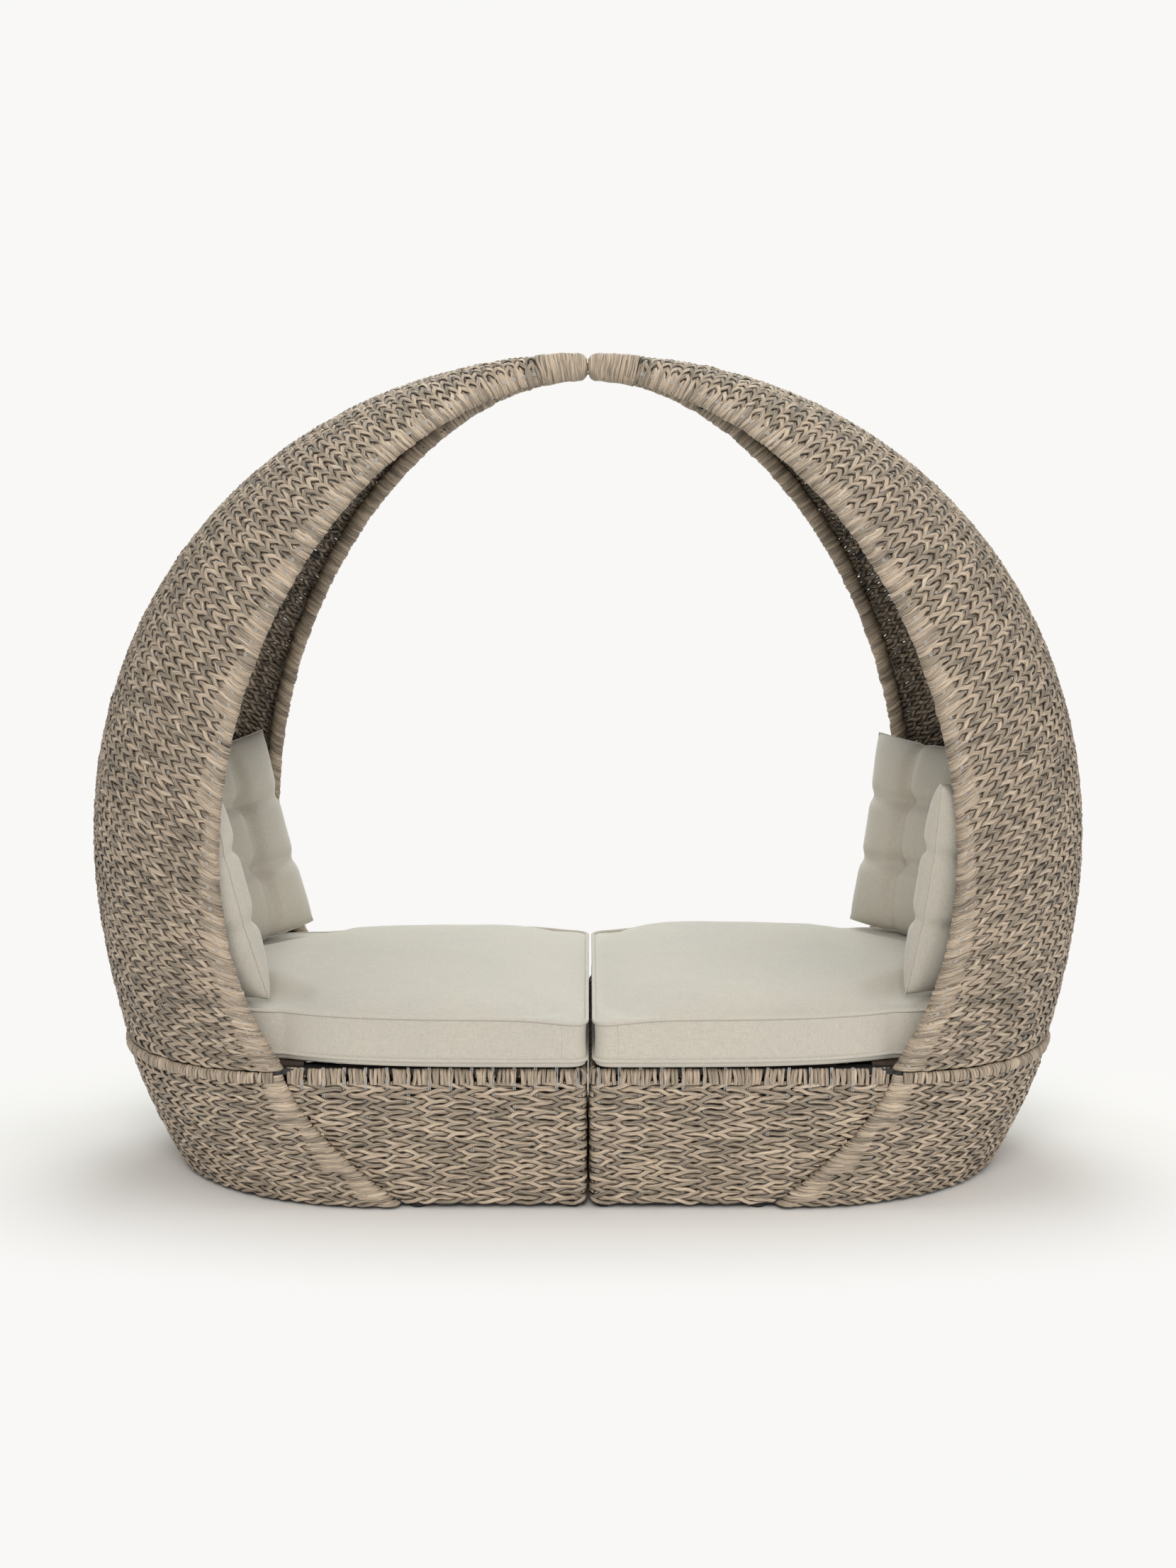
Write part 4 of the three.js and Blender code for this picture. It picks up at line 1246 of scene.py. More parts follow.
def tip_core(name, side, turn):
    """A closed body under the wraps, so that no gap shows through"""
    shares, lengths = tip_table(CORE_SPAN)
    points = []
    count = turn.shape[1]
    for length in np.linspace(0.0, lengths[-1], CORE_RINGS):
        share = float(np.interp(length, lengths, shares))
        section, _, centre, up, across = tip_ring(share, length, turn, -CORE_INSET)
        ring = centre + up[:, None] * section["outward"]
        ring[:, 1] = across
        points.append(ring)
    last = len(points) - 1
    faces = []
    for low in range(0, last * count, count):
        for k in range(count):
            beside = (k + 1) % count
            faces.append([low + k, low + beside, low + count + beside, low + count + k])
    faces += [list(range(count))[::-1], [last * count + k for k in range(count)]]
    points = (np.concatenate(points) + [HALF_GAP + CORE_INSET, 0, 0]) * [side, 1, 1]
    return link(name, closed_mesh(name, points, faces))


def tip_wrap(length, share, turn, random, index):
    """The guide of one closed wrap round the tip"""
    section, rounding, centre, up, across = tip_ring(share, length, turn, TIP_GROWTH)
    outward = section["outward"]
    forward = unit(np.cross([outward], [[0.0, 1.0, 0.0]]))[0]
    if forward[0] > 0:
        forward = -forward
    tilt = random.uniform(-TIP_TILT, TIP_TILT, 2) * (1 - rounding)
    place = centre + up[:, None] * outward + (up * tilt[0] + across * tilt[1])[:, None] * forward
    place[:, 1] = across
    facing = np.outer(turn[0], outward) / (section["reach"] + WRAP_RADIUS)
    facing[:, 1] = turn[1] / (section["depth"] + WRAP_RADIUS) / 2
    facing = unit(unit(facing) + forward * rounding * TIP_ROUND_FACING)
    return plain_guide(place, facing, index)


def wrap_tips(settings):
    random = np.random.default_rng(settings.seed + 1)
    shares, lengths = tip_table(TIP_SPAN)
    angles = np.arange(TIP_POINTS) / TIP_POINTS * 2 * math.pi
    turn = np.stack([np.cos(angles), np.sin(angles)])
    values = strand_values(settings, TIP_WIDTH, "wrap")
    for half, side in HALVES.items():
        guides = []
        for index, length in enumerate(np.arange(TIP_START, lengths[-1], TIP_PITCH)):
            share = float(np.interp(length, lengths, shares))
            guides.append(tip_wrap(length, share, turn, random, index))
        laid("tip_wraps", half, guides, "wrapped", values, "wrap", "hood_tip_wrap", closed=True)
        core = tip_core(f"{half}_tip_core", side, turn)
        finished(core, "core")
        placed(core, half, "wrap")


# Cushions

SEAT_BOTTOM = 0.3083
SEAT_THICKNESS = 0.106
SEAT_TOP = SEAT_BOTTOM + SEAT_THICKNESS
SEAT_UNDERSIDE = SEAT_BOTTOM + 0.0005
SEAT_PIPING_HEIGHT = 0.016
SEAT_CROWNS = {"left": 0.043, "right": 0.053}
CROWN_OPEN_POWER, CROWN_END_POWER = 4.5, 9.0
CROWN_FRONT_POWER, CROWN_REAR_POWER = 4.5, 8.0
SEAT_DROOP = 0.012  # how far the upper seam sinks at the open end's corners
DROOP_REACH = 0.10
SEAT_END_DEPTH = 0.458
SEAT_NECK_DEPTH = 0.390
SEAT_NECK_PLACE = 0.636
SEAT_NECK_POWER = 4
SEAT_REACH = 1.012
SEAT_SETBACKS = {"left": 0.002, "right": 0.012}
SEAT_CORNER = 0.030
SEAT_CORNER_POINTS = 9
SEAT_EDGE_POINTS = 60
SEAT_END_POINTS = 91
SEAT_DRAW_IN = 0.003
SEAT_TUCK = 0.008  # how far the underside draws in below the lower seam
TUCK_HEIGHT = 0.3  # of the ring between the underside and the lower seam, and its share of the tuck
TUCK_SHARE = 0.25
SEAT_CELLS = 72
SEAT_SIDE_STEPS = 9
SEAT_PINNED_SIZE = 0.999
SEAT_SWELL_SHARE = 0.4
SEAT_PRESSURE = 1.2
SEAT_WRINKLES = 0.0018
WRINKLE_RISE = 0.008
WRINKLE_FINE = 0.25  # share of the finer waves
SEAM_PLACE = 0.048  # of the upright seams, from the open end
SEAM_SIDE = 0.3  # a seam's foot lies at least this far to its side
SEAM_RADIUS = 0.0013
SEAM_POINTS = 9
BACK_WIDTH = 0.436
BACK_THICKNESS = 0.140
BACK_EDGE = 0.0015
BACK_DRAW_IN = 0.019
BACK_SAG = 0.012  # of the lower edge, between its corners
BACK_TURN = math.radians(43)
BACK_FOOT = (0.804, 0.178)
BACK_COLUMNS = 60
BACK_ROWS = 66
BACK_SWELL = 0.010
BACK_PRESSURE = 1.5
BACK_PIPING = 0.55  # radius of its piping, of that of the seat's
# front and rear one of each half: shift, lean, roll, lift over the seat's seam, height
BACKS = {
    "left": ((0.017, math.radians(15.8), 0.0, 0.013, 0.486), (0.009, math.radians(16.2), 0.08, 0.026, 0.478)),
    "right": ((0.014, math.radians(9.4), 0.0, 0.024, 0.458), (-0.018, math.radians(12.2), 0.0, 0.048, 0.456)),
}
DENT_NEAR = 0.020  # how far round the foot of a back cushion the seat is pressed down
DENT_FAR = 0.110
DENT_SAG = 0.8
TUFT = 1 / 3  # place of the tufts and creases, as a share of half the width or height
CREASE_DEPTH = 0.30
CREASE_WIDTH = 0.075
TUFT_DEPTH = 0.45
TUFT_WIDTH = 0.11
TUFT_HOLD = 0.04
NOTCH_DEPTH = 0.004  # of the edge, where a crease meets it
NOTCH_WIDTH = 0.06
NOTCH_START = 0.9

CLOTH_FRAMES = 20
CLOTH = {
    "quality": 6,
    "mass": 0.25,
    "tension_stiffness": 12,
    "compression_stiffness": 12,
    "shear_stiffness": 6,
    "bending_stiffness": 0.4,
    "use_pressure": True,
    "vertex_group_mass": "seams",
}


def grid_loop(rows, columns):
    """Places round the edge of a grid, in order"""
    loop = [(0, c) for c in range(columns)] + [(r, columns) for r in range(rows)]
    return loop + [(rows, c) for c in range(columns, 0, -1)] + [(r, 0) for r in range(rows, 0, -1)]


def sewn(name, side, points, faces, turned_round):
    """The closed cover of a cushion, with its faces turned outwards"""
    points = (points + [HALF_GAP, 0, 0]) * [side, 1, 1]
    way = -1 if turned_round else 1
    return link(name, closed_mesh(name, points, [[int(index) for index in face[::way]] for face in faces]))


def swollen(piece, cap, pins, pressure):
    """Blows the cushion up a little as cloth, keeps each point within the cap, and holds the pinned points"""
    mesh = piece.data
    rest = np.zeros(len(mesh.vertices) * 3, np.float32)
    mesh.vertices.foreach_get("co", rest)
    rest = rest.reshape(-1, 3)
    group = piece.vertex_groups.new(name=CLOTH["vertex_group_mass"])
    for index in np.nonzero(pins)[0]:
        group.add([int(index)], 1.0, "REPLACE")
    cloth = piece.modifiers.new("Padding", "CLOTH")
    for name, value in CLOTH.items():
        setattr(cloth.settings, name, value)
    cloth.settings.uniform_pressure_force = pressure
    cloth.settings.effector_weights.gravity = 0
    cloth.collision_settings.use_collision = False
    cloth.point_cache.frame_start = 1
    cloth.point_cache.frame_end = CLOTH_FRAMES
    scene = bpy.context.scene
    for number in range(1, CLOTH_FRAMES + 1):
        scene.frame_set(number)
    depsgraph = bpy.context.evaluated_depsgraph_get()
    swelled = piece.evaluated_get(depsgraph).to_mesh()
    blown = np.zeros(len(mesh.vertices) * 3, np.float32)
    swelled.vertices.foreach_get("co", blown)
    piece.evaluated_get(depsgraph).to_mesh_clear()
    moved = blown.reshape(-1, 3) - rest
    size = np.maximum(np.linalg.norm(moved, axis=1, keepdims=True), 1e-9)
    moved *= np.minimum(1, cap / size)
    piece.modifiers.remove(cloth)
    piece.vertex_groups.clear()
    scene.frame_set(1)
    mesh.vertices.foreach_set("co", (rest + moved).astype(np.float32).ravel())
    mesh.update()


def seat_sides(setback):
    """Plan outline in four runs of like count: open end, rear side, round end, front side"""
    start = HALF_GAP + setback
    corner = []
    for angle in np.linspace(0, math.pi / 2, SEAT_CORNER_POINTS):
        x = start + SEAT_CORNER * (1 - math.cos(angle))
        corner.append((x, SEAT_END_DEPTH - SEAT_CORNER * (1 - math.sin(angle))))
    edge = []
    for share in np.linspace(0, 1, SEAT_EDGE_POINTS)[1:]:
        x = start + SEAT_CORNER + (SEAT_NECK_PLACE - start - SEAT_CORNER) * share
        edge.append((x, SEAT_END_DEPTH - (SEAT_END_DEPTH - SEAT_NECK_DEPTH) * share**SEAT_NECK_POWER))
    reach = SEAT_REACH - SEAT_NECK_PLACE
    angles = np.linspace(math.pi / 2, -math.pi / 2, SEAT_END_POINTS)
    end = [(SEAT_NECK_PLACE + reach * math.cos(angle), SEAT_NECK_DEPTH * math.sin(angle)) for angle in angles]
    halfway = SEAT_CORNER_POINTS // 2
    rear = np.array(corner[halfway:] + edge)
    front = rear[::-1] * [1, -1]
    open_end = np.array([(x, -y) for x, y in corner[halfway::-1]] + corner[: halfway + 1])[::-1]
    sides = []
    for run in (open_end, rear, np.array(end), front):
        lengths = running_lengths(run)
        at = np.linspace(0, lengths[-1], SEAT_CELLS + 1)
        sides.append(np.stack([np.interp(at, lengths, run[:, k]) for k in (0, 1)], axis=1))
    return sides


def seat_grid(setback):
    """Plan places of a square grid that fills the outline, and each place's share of the way to it"""
    open_end, rear, end, front = seat_sides(setback)
    middle = np.array([(SEAT_REACH + setback) / 2, 0.0])
    steps = np.linspace(-1, 1, SEAT_CELLS + 1)
    along, across = np.meshgrid(steps, steps, indexing="ij")
    size = np.maximum(np.abs(along), np.abs(across))
    safe = np.maximum(size, 1e-9)

    def on(side, shares):
        at = (shares + 1) / 2 * SEAT_CELLS
        index = np.arange(SEAT_CELLS + 1)
        return np.stack([np.interp(at, index, side[:, k]) for k in (0, 1)], axis=-1)

    by_along, by_across = along / safe, across / safe
    ends = np.where((along < 0)[..., None], on(open_end[::-1], by_across), on(end[::-1], by_across))
    flanks = np.where((across < 0)[..., None], on(front[::-1], by_along), on(rear, by_along))
    edge = np.where((np.abs(along) >= np.abs(across))[..., None], ends, flanks)
    return middle + (edge - middle) * size[..., None], size, edge, middle


def seat_droop(x, y, half):
    """How far the upper seam hangs at a plan place near the open end's corners"""
    away = np.hypot(x - SEAT_SETBACKS[half], np.abs(y) - SEAT_END_DEPTH)
    return SEAT_DROOP * np.exp(-((away / DROOP_REACH) ** 2))


def seat_crown(plan, half):
    """Heights of the crown over the upper seam, pressed down under the back cushions"""
    steps = np.linspace(-1, 1, len(plan))
    power = np.where(steps < 0, CROWN_OPEN_POWER, CROWN_END_POWER)
    powers = np.where(steps < 0, CROWN_FRONT_POWER, CROWN_REAR_POWER)
    rise = SEAT_CROWNS[half] * np.outer(1 - np.abs(steps) ** power, 1 - np.abs(steps) ** powers)
    rise = rise - seat_droop(plan[..., 0], plan[..., 1], half)
    for _, hand in SIDES:
        _, across, _, _, _, foot = back_frame(half, hand)
        reach = np.clip((plan - foot[:2]) @ across[:2], -BACK_WIDTH / 2, BACK_WIDTH / 2)
        away = np.linalg.norm(plan - foot[:2] - reach[..., None] * across[:2], axis=-1)
        pressed = foot[2] - SEAT_BOTTOM - SEAT_THICKNESS - BACK_SAG * DENT_SAG
        kept = smooth_step(DENT_NEAR, DENT_FAR, away)
        rise = np.where(rise > pressed, pressed + (rise - pressed) * kept, rise)
    return rise


def seat_walls(rim, middle, half):
    """Rings of the seat's wall, drawn in between its seams"""
    inward = unit(middle - rim)
    low = SEAT_BOTTOM + SEAT_PIPING_HEIGHT
    halfway = np.full(len(rim), SEAT_BOTTOM + SEAT_PIPING_HEIGHT * TUCK_HEIGHT)
    walls = [np.column_stack([rim + inward * SEAT_TUCK * TUCK_SHARE, halfway])]
    for share in np.linspace(0, 1, SEAT_SIDE_STEPS + 1)[:-1]:
        inset = SEAT_DRAW_IN * math.sin(math.pi * share)
        height = low + (SEAT_TOP - low - seat_droop(rim[:, 0], rim[:, 1], half)) * share
        walls.append(np.column_stack([rim + inward * inset, height]))
    return walls


def make_seat(name, half, side):
    """A boxed cushion: flat underside, walls drawn in between two seams, crown"""
    plan, size, edge, middle = seat_grid(SEAT_SETBACKS[half])
    tuck = unit((middle - plan).reshape(-1, 2)).reshape(plan.shape) * (SEAT_TUCK * size**3)[..., None]
    under = np.dstack([plan + tuck, np.full(size.shape, SEAT_UNDERSIDE)])
    crown = np.dstack([plan, SEAT_TOP + seat_crown(plan, half)])
    loop = grid_loop(SEAT_CELLS, SEAT_CELLS)
    rim = np.array([edge[at] for at in loop])
    walls = seat_walls(rim, middle, half)
    points = np.concatenate([under.reshape(-1, 3), crown.reshape(-1, 3), *walls])
    count = size.size
    grid = np.arange(count).reshape(size.shape)
    faces = []
    for r in range(SEAT_CELLS):
        for c in range(SEAT_CELLS):
            quad = [grid[r, c], grid[r, c + 1], grid[r + 1, c + 1], grid[r + 1, c]]
            faces.append(quad)
            faces.append([index + count for index in quad[::-1]])
    rings = [[grid[at] for at in loop]]
    for first in range(2 * count, len(points), len(loop)):
        rings.append(list(range(first, first + len(loop))))
    rings.append([grid[at] + count for at in loop])
    for lower, upper in zip(rings, rings[1:]):
        for here in range(len(loop)):
            there = (here + 1) % len(loop)
            faces.append([lower[here], upper[here], upper[there], lower[there]])
    piece = sewn(name, side, points, faces, side > 0)
    pinned = np.zeros(len(points), bool)
    pinned[:count] = True
    pinned[count : 2 * count] = (size > SEAT_PINNED_SIZE).ravel()
    pinned[2 * count : 2 * count + 2 * len(loop)] = True
    return piece, rim, pinned


def wrinkled(piece, amount):
    """Soft dents and pulls on the crown, as of cloth that has been sat on"""
    mesh = piece.data
    places = np.array([v.co for v in mesh.vertices])
    normals = np.array([v.normal for v in mesh.vertices])
    x, y, z = places.T
    # two sets of waves across each other, in radians a metre, each bent a little by the other way's place
    low = np.sin(x * 9.0 + 1.7 * np.sin(y * 6.0 + 0.6)) * np.cos(y * 7.0 + 0.9 * np.sin(x * 5.0))
    fine = np.sin(x * 31.0 + 2.0 * np.sin(y * 23.0)) * np.sin(y * 27.0 + 1.3 * np.sin(x * 19.0))
    waves = low * (1 - WRINKLE_FINE) + fine * WRINKLE_FINE
    shift = waves * amount * smooth_step(SEAT_TOP, SEAT_TOP + WRINKLE_RISE, z)
    places += normals * shift[:, None]
    mesh.vertices.foreach_set("co", places.astype(np.float32).ravel())
    mesh.update()


def subdivided(piece, levels):
    modifier = piece.modifiers.new("Rounding", "SUBSURF")
    modifier.levels = levels
    modifier.render_levels = levels
    depsgraph = bpy.context.evaluated_depsgraph_get()
    mesh = bpy.data.meshes.new_from_object(piece.evaluated_get(depsgraph), depsgraph=depsgraph)
    piece.modifiers.clear()
    piece.data = mesh


def upright_seams(rim, half):
    """Guides of the two seams up the wall beside the open end's corners"""
    seams = []
    bow = SEAT_DRAW_IN * np.sin(np.pi * np.linspace(0, 1, SEAM_POINTS))
    for _, hand in SIDES:
        off = np.abs(rim[:, 0] - HALF_GAP - SEAT_SETBACKS[half] - SEAM_PLACE)
        foot = rim[int(np.argmin(off + (rim[:, 1] * hand < SEAM_SIDE)))]
        top = SEAT_THICKNESS - seat_droop(foot[0], foot[1], half)
        heights = SEAT_BOTTOM + np.linspace(SEAT_PIPING_HEIGHT, top, SEAM_POINTS)
        line = np.column_stack([np.full(SEAM_POINTS, foot[0]), foot[1] - hand * bow, heights])
        seams.append(plain_guide(line, np.tile([1.0, 0.0, 0.0], (SEAM_POINTS, 1))))
    return seams


def make_seats(cushions):
    for half, side in HALVES.items():
        piece, rim, pinned = make_seat(f"{half}_seat_cushion_cover", half, side)
        swollen(piece, cushions.swell * SEAT_SWELL_SHARE, pinned, SEAT_PRESSURE)
        wrinkled(piece, SEAT_WRINKLES)
        subdivided(piece, 1)
        finished(piece, "fabric")
        placed(piece, half, "fabric", "seat_cushion")
        droop = seat_droop(rim[:, 0], rim[:, 1], half)
        low_seam = np.full(len(rim), SEAT_BOTTOM + SEAT_PIPING_HEIGHT)
        for label, height in (("lower", low_seam), ("upper", SEAT_TOP - droop)):
            seam = np.column_stack([rim, height])
            cord = [plain_guide(seam, np.tile(UP, (len(seam), 1)))]
            name = f"seat_piping_{label}"
            corded(name, half, cord, cushions.piping_radius, "fabric", "fabric", closed=True)
        corded("seat_upright_seams", half, upright_seams(rim, half), SEAM_RADIUS, "fabric", "fabric")


def back_frame(half, side):
    """Middle and axes of a back cushion; side is -1 for the front one and 1 for the rear one"""
    shift, lean, roll, lift, height = BACKS[half][int(side > 0)]
    outward = np.array([math.cos(BACK_TURN), side * math.sin(BACK_TURN), 0.0])
    across = np.array([math.sin(BACK_TURN), -side * math.cos(BACK_TURN), 0.0])
    up = np.array([0.0, 0.0, math.cos(lean)]) + outward * math.sin(lean)
    across, up = (
        across * math.cos(roll) - up * math.sin(roll),
        up * math.cos(roll) + across * math.sin(roll),
    )
    facing = np.cross(across, up) * side
    foot = np.array([BACK_FOOT[0] + shift, side * BACK_FOOT[1], SEAT_BOTTOM + SEAT_THICKNESS + lift])
    return foot + up * height / 2, across, up, facing, height, foot


def near_tufts(shares, width):
    """1 where a share lies level with the tufts, fading over a width"""
    return np.exp(-(((np.abs(shares) - TUFT) / width) ** 2))


def back_puff(across, up):
    """Thickness share of a tufted cushion at shares of its half width and half height"""
    dome = np.sqrt(np.maximum((1 - across**4) * (1 - up**4), 0))
    crease = CREASE_DEPTH * np.maximum(near_tufts(across, CREASE_WIDTH), near_tufts(up, CREASE_WIDTH))
    tufts = TUFT_DEPTH * near_tufts(across, TUFT_WIDTH) * near_tufts(up, TUFT_WIDTH)
    return dome * (1 - crease - tufts)


def make_back(name, half, half_side, side):
    """A knife-edged cushion with tufts, creases between them and a drawn-in outline"""
    middle, across, up, facing, tall, _ = back_frame(half, side)
    columns = np.linspace(-1, 1, BACK_COLUMNS + 1)
    rows = np.linspace(-1, 1, BACK_ROWS + 1)
    across_share, up_share = np.meshgrid(columns, rows)
    width = BACK_WIDTH / 2 - BACK_DRAW_IN * (1 - up_share**2)
    height = tall / 2 - np.where(up_share > 0, BACK_DRAW_IN, -BACK_SAG) * (1 - across_share**2)
    notch = NOTCH_DEPTH * (near_tufts(up_share, NOTCH_WIDTH) + near_tufts(across_share, NOTCH_WIDTH))
    width = width - notch * (np.abs(across_share) > NOTCH_START)
    height = height - notch * (np.abs(up_share) > NOTCH_START)
    puff = BACK_EDGE + (BACK_THICKNESS - 2 * BACK_EDGE) / 2 * back_puff(across_share, up_share)
    plane = middle + (across_share * width)[..., None] * across + (up_share * height)[..., None] * up
    front = plane + puff[..., None] * facing
    back = plane - puff[..., None] * facing
    grid = np.arange(across_share.size).reshape(across_share.shape)
    behind = grid + across_share.size
    faces = []
    for r in range(BACK_ROWS):
        for c in range(BACK_COLUMNS):
            faces.append([grid[r, c], grid[r, c + 1], grid[r + 1, c + 1], grid[r + 1, c]])
            faces.append([behind[r, c], behind[r + 1, c], behind[r + 1, c + 1], behind[r, c + 1]])
    loop = grid_loop(BACK_ROWS, BACK_COLUMNS)
    for here, there in zip(loop, loop[1:] + loop[:1]):
        faces.append([grid[here], behind[here], behind[there], grid[there]])
    flipped = np.dot(np.cross(across, up), facing) < 0
    points = np.concatenate([front.reshape(-1, 3), back.reshape(-1, 3)])
    piece = sewn(name, half_side, points, faces, flipped != (half_side < 0))
    held = np.ones(across_share.shape, bool)
    held[1:-1, 1:-1] = False
    level = (np.abs(np.abs(shares) - TUFT) < TUFT_HOLD for shares in (across_share, up_share))
    held |= np.logical_and(*level)
    return piece, np.tile(held.ravel(), 2), np.array([plane[at] for at in loop])


def make_backs(cushions):
    for half, half_side in HALVES.items():
        for label, side in SIDES:
            piece, pinned, line = make_back(f"{half}_back_cushion_{label}_cover", half, half_side, side)
            swollen(piece, BACK_SWELL, pinned, BACK_PRESSURE)
            finished(piece, "fabric")
            placed(piece, half, "fabric", f"back_cushion_{label}")
            cord = [plain_guide(line, np.tile(UP, (len(line), 1)))]
            radius = cushions.piping_radius * BACK_PIPING
            corded(f"back_piping_{label}", half, cord, radius, "fabric", "fabric", closed=True)


# Ribs, tubes and feet

RIB_RADIUS = 0.008
RIB_ROWS = {"hood_mid_rib": 6, "hood_low_rib": 10}
RIB_POINTS = 61
RIB_STOP = 0.040
HOOD_ROWS = 15
RIB_INSET = SKIN_THICKNESS + 0.0011 + RIB_RADIUS
TUBE_START = 0.03
TUBE_END = 0.988
TUBE_POINTS = 160
TUBE_SHRINK = 0.95
BAR_SIDES = 20

FEET = ("foot_end_front", "foot_end_rear", "foot_middle_front", "foot_middle_rear", "foot_outer")
FOOT_STEPS = 32
# rings of a foot: share of its radius, low end or high end, height from that end
FOOT_RINGS = ((0.80, 0, 0.0), (0.92, 0, 0.0006), (1.0, 0, 0.0025), (1.0, 1, -0.0012), (0.96, 1, 0.0))

CAD_FINISHES = {
    "frame": ("hood_foot_rail", "base_frame"),
    "steel": ("hood_bolt_front", "hood_bolt_side", "hood_bolt_rear"),
    "slats": ("seat_deck",),
}


def make_ribs():
    """The round ribs inside each hood"""
    flat = np.tile(UP, (RIB_POINTS, 1))
    for node, row in RIB_ROWS.items():
        section = hood_section(TIP_SHARE + row * (1 - TIP_SHARE) / HOOD_ROWS)
        length, _ = quarter_length(section)
        fractions = np.linspace(-1, 1, RIB_POINTS) * (1 - RIB_STOP / length)
        line = plain_guide(section_points(section, fractions, np.full(RIB_POINTS, RIB_INSET)), flat)
        for half in HALVES:
            corded(f"{node}_bar", half, [line], RIB_RADIUS, "frame", "frame", node, sides=BAR_SIDES)


def make_tubes():
    """The two bent tubes of each hood, smooth down to the tip"""
    shares = np.linspace(TUBE_START**0.5, TUBE_END**0.5, TUBE_POINTS) ** 2
    flat = np.tile(UP, (TUBE_POINTS, 1))
    radius = TUBE_RADIUS * TUBE_SHRINK
    for label, hand in SIDES:
        place = np.array([rim_place(share) + [0.0, hand * rim_depth(share), 0.0] for share in shares])
        line = plain_guide(place, flat)
        node = f"hood_{label}_rim_tube"
        for half in HALVES:
            corded(f"hood_{label}_tube", half, [line], radius, "frame", "frame", node, sides=BAR_SIDES)


def make_foot(name, node):
    """A round foot with eased edges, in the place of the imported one"""
    low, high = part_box(node)
    middle = (low + high) / 2
    radius = (high.x - low.x) / 2
    points = [(middle.x, middle.y, low.z), (middle.x, middle.y, high.z)]
    for share, end, rise in FOOT_RINGS:
        size = radius * share
        for step in range(FOOT_STEPS):
            angle = 2 * math.pi * step / FOOT_STEPS
            x, y = middle.x + size * math.cos(angle), middle.y + size * math.sin(angle)
            points.append((x, y, (low.z, high.z)[end] + rise))
    faces = []
    top = len(points) - FOOT_STEPS
    for step in range(FOOT_STEPS):
        beside = (step + 1) % FOOT_STEPS
        faces.append((0, 2 + beside, 2 + step))
        faces.append((1, top + step, top + beside))
        for ring in range(2, top, FOOT_STEPS):
            above = ring + FOOT_STEPS
            faces.append((ring + step, ring + beside, above + beside, above + step))
    return link(name, closed_mesh(name, points, faces))


def make_feet():
    for half in HALVES:
        for node in FEET:
            piece = make_foot(f"{half}_{node}_pad", f"{half}_{node}")
            finished(piece, "foot")
            placed(piece, half, "foot", node)


def finish_frame():
    for finish, nodes in CAD_FINISHES.items():
        for node in nodes:
            for half in HALVES:
                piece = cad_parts[f"{half}_{node}"]
                piece.data.materials.clear()
                piece.data.materials.append(finish_of(finish))


# Stage

SENSOR_WIDTH = 36.0
CLIP_END = 60.0
FLOOR_SIZE = 30.0
FLOOR_SHADE = 0.93
FLOOR_ROUGHNESS = 0.9
FADE_RADII = (1.10, 0.52, 1.0)  # of the ellipse under the base, in which the floor keeps its own look
FADE_START = 0.95  # the floor blends into the backdrop from here, in such radii
FADE_END = 1.9
AMBIENT = 0.52
AMBIENT_COLOR = (1.0, 0.99, 0.975, 1.0)
LIGHT_AIM = Vector((0.0, 0.0, 0.8))
# name, place, width, power, colour
LIGHTS = [
    ("key", (-0.3, -5.0, 3.7), 2.2, 116.0, (1.0, 0.955, 0.905)),
    ("fill", (3.8, -3.4, 2.4), 3.0, 48.0, (1.0, 0.97, 0.94)),
    ("top", (0.0, 0.2, 4.6), 2.4, 45.0, (0.955, 1.0, 0.985)),
    ("rear", (0.0, 3.4, 3.2), 2.6, 105.0, (0.94, 1.0, 0.98)),
]


def make_camera(settings):
    camera = bpy.data.cameras.new("camera")
    camera.lens = settings.lens
    camera.sensor_width = SENSOR_WIDTH
    camera.clip_end = CLIP_END
    holder = link("camera", camera)
    holder.location = (0.0, -settings.distance, settings.height)
    holder.rotation_euler = (math.pi / 2 - settings.pitch, 0.0, 0.0)
    bpy.context.scene.camera = holder


def make_floor(settings):
    """A pale floor that keeps its shade near the daybed and blends into the backdrop round it"""
    points = [(x * FLOOR_SIZE, y * FLOOR_SIZE, 0) for x, y in ((-1, -1), (1, -1), (1, 1), (-1, 1))]
    floor = link("floor", closed_mesh("floor", points, [(0, 1, 2, 3)]))
    made = Shading("pale_floor", shade(settings.floor, FLOOR_SHADE), FLOOR_ROUGHNESS)
    made.set(**{"Specular IOR Level": 0.0})
    squashed = made.vector("MULTIPLY", made.place(), [1 / radius for radius in FADE_RADII])
    away = made.add("ShaderNodeVectorMath", {0: squashed}, operation="LENGTH").outputs["Value"]
    limits = {"Value": away, "From Min": FADE_START, "From Max": FADE_END}
    fade = made.add("ShaderNodeMapRange", limits, interpolation_type="SMOOTHSTEP").outputs[0]
    glow = made.add("ShaderNodeEmission", {"Color": (*settings.floor, 1.0)}).outputs[0]
    blend = made.add("ShaderNodeMixShader", {0: fade, 1: made.shader.outputs[0], 2: glow})
    made.put(made.tree.nodes["Material Output"].inputs["Surface"], blend.outputs[0])
    floor.data.materials.append(made.material)


def make_lights():
    for name, place, width, power, color in LIGHTS:
        light = bpy.data.lights.new(name, "AREA")
        light.size = width
        light.energy = power
        light.color = color
        lamp = link(name, light)
        lamp.location = place
        lamp.rotation_euler = (LIGHT_AIM - Vector(place)).to_track_quat("-Z", "Y").to_euler()


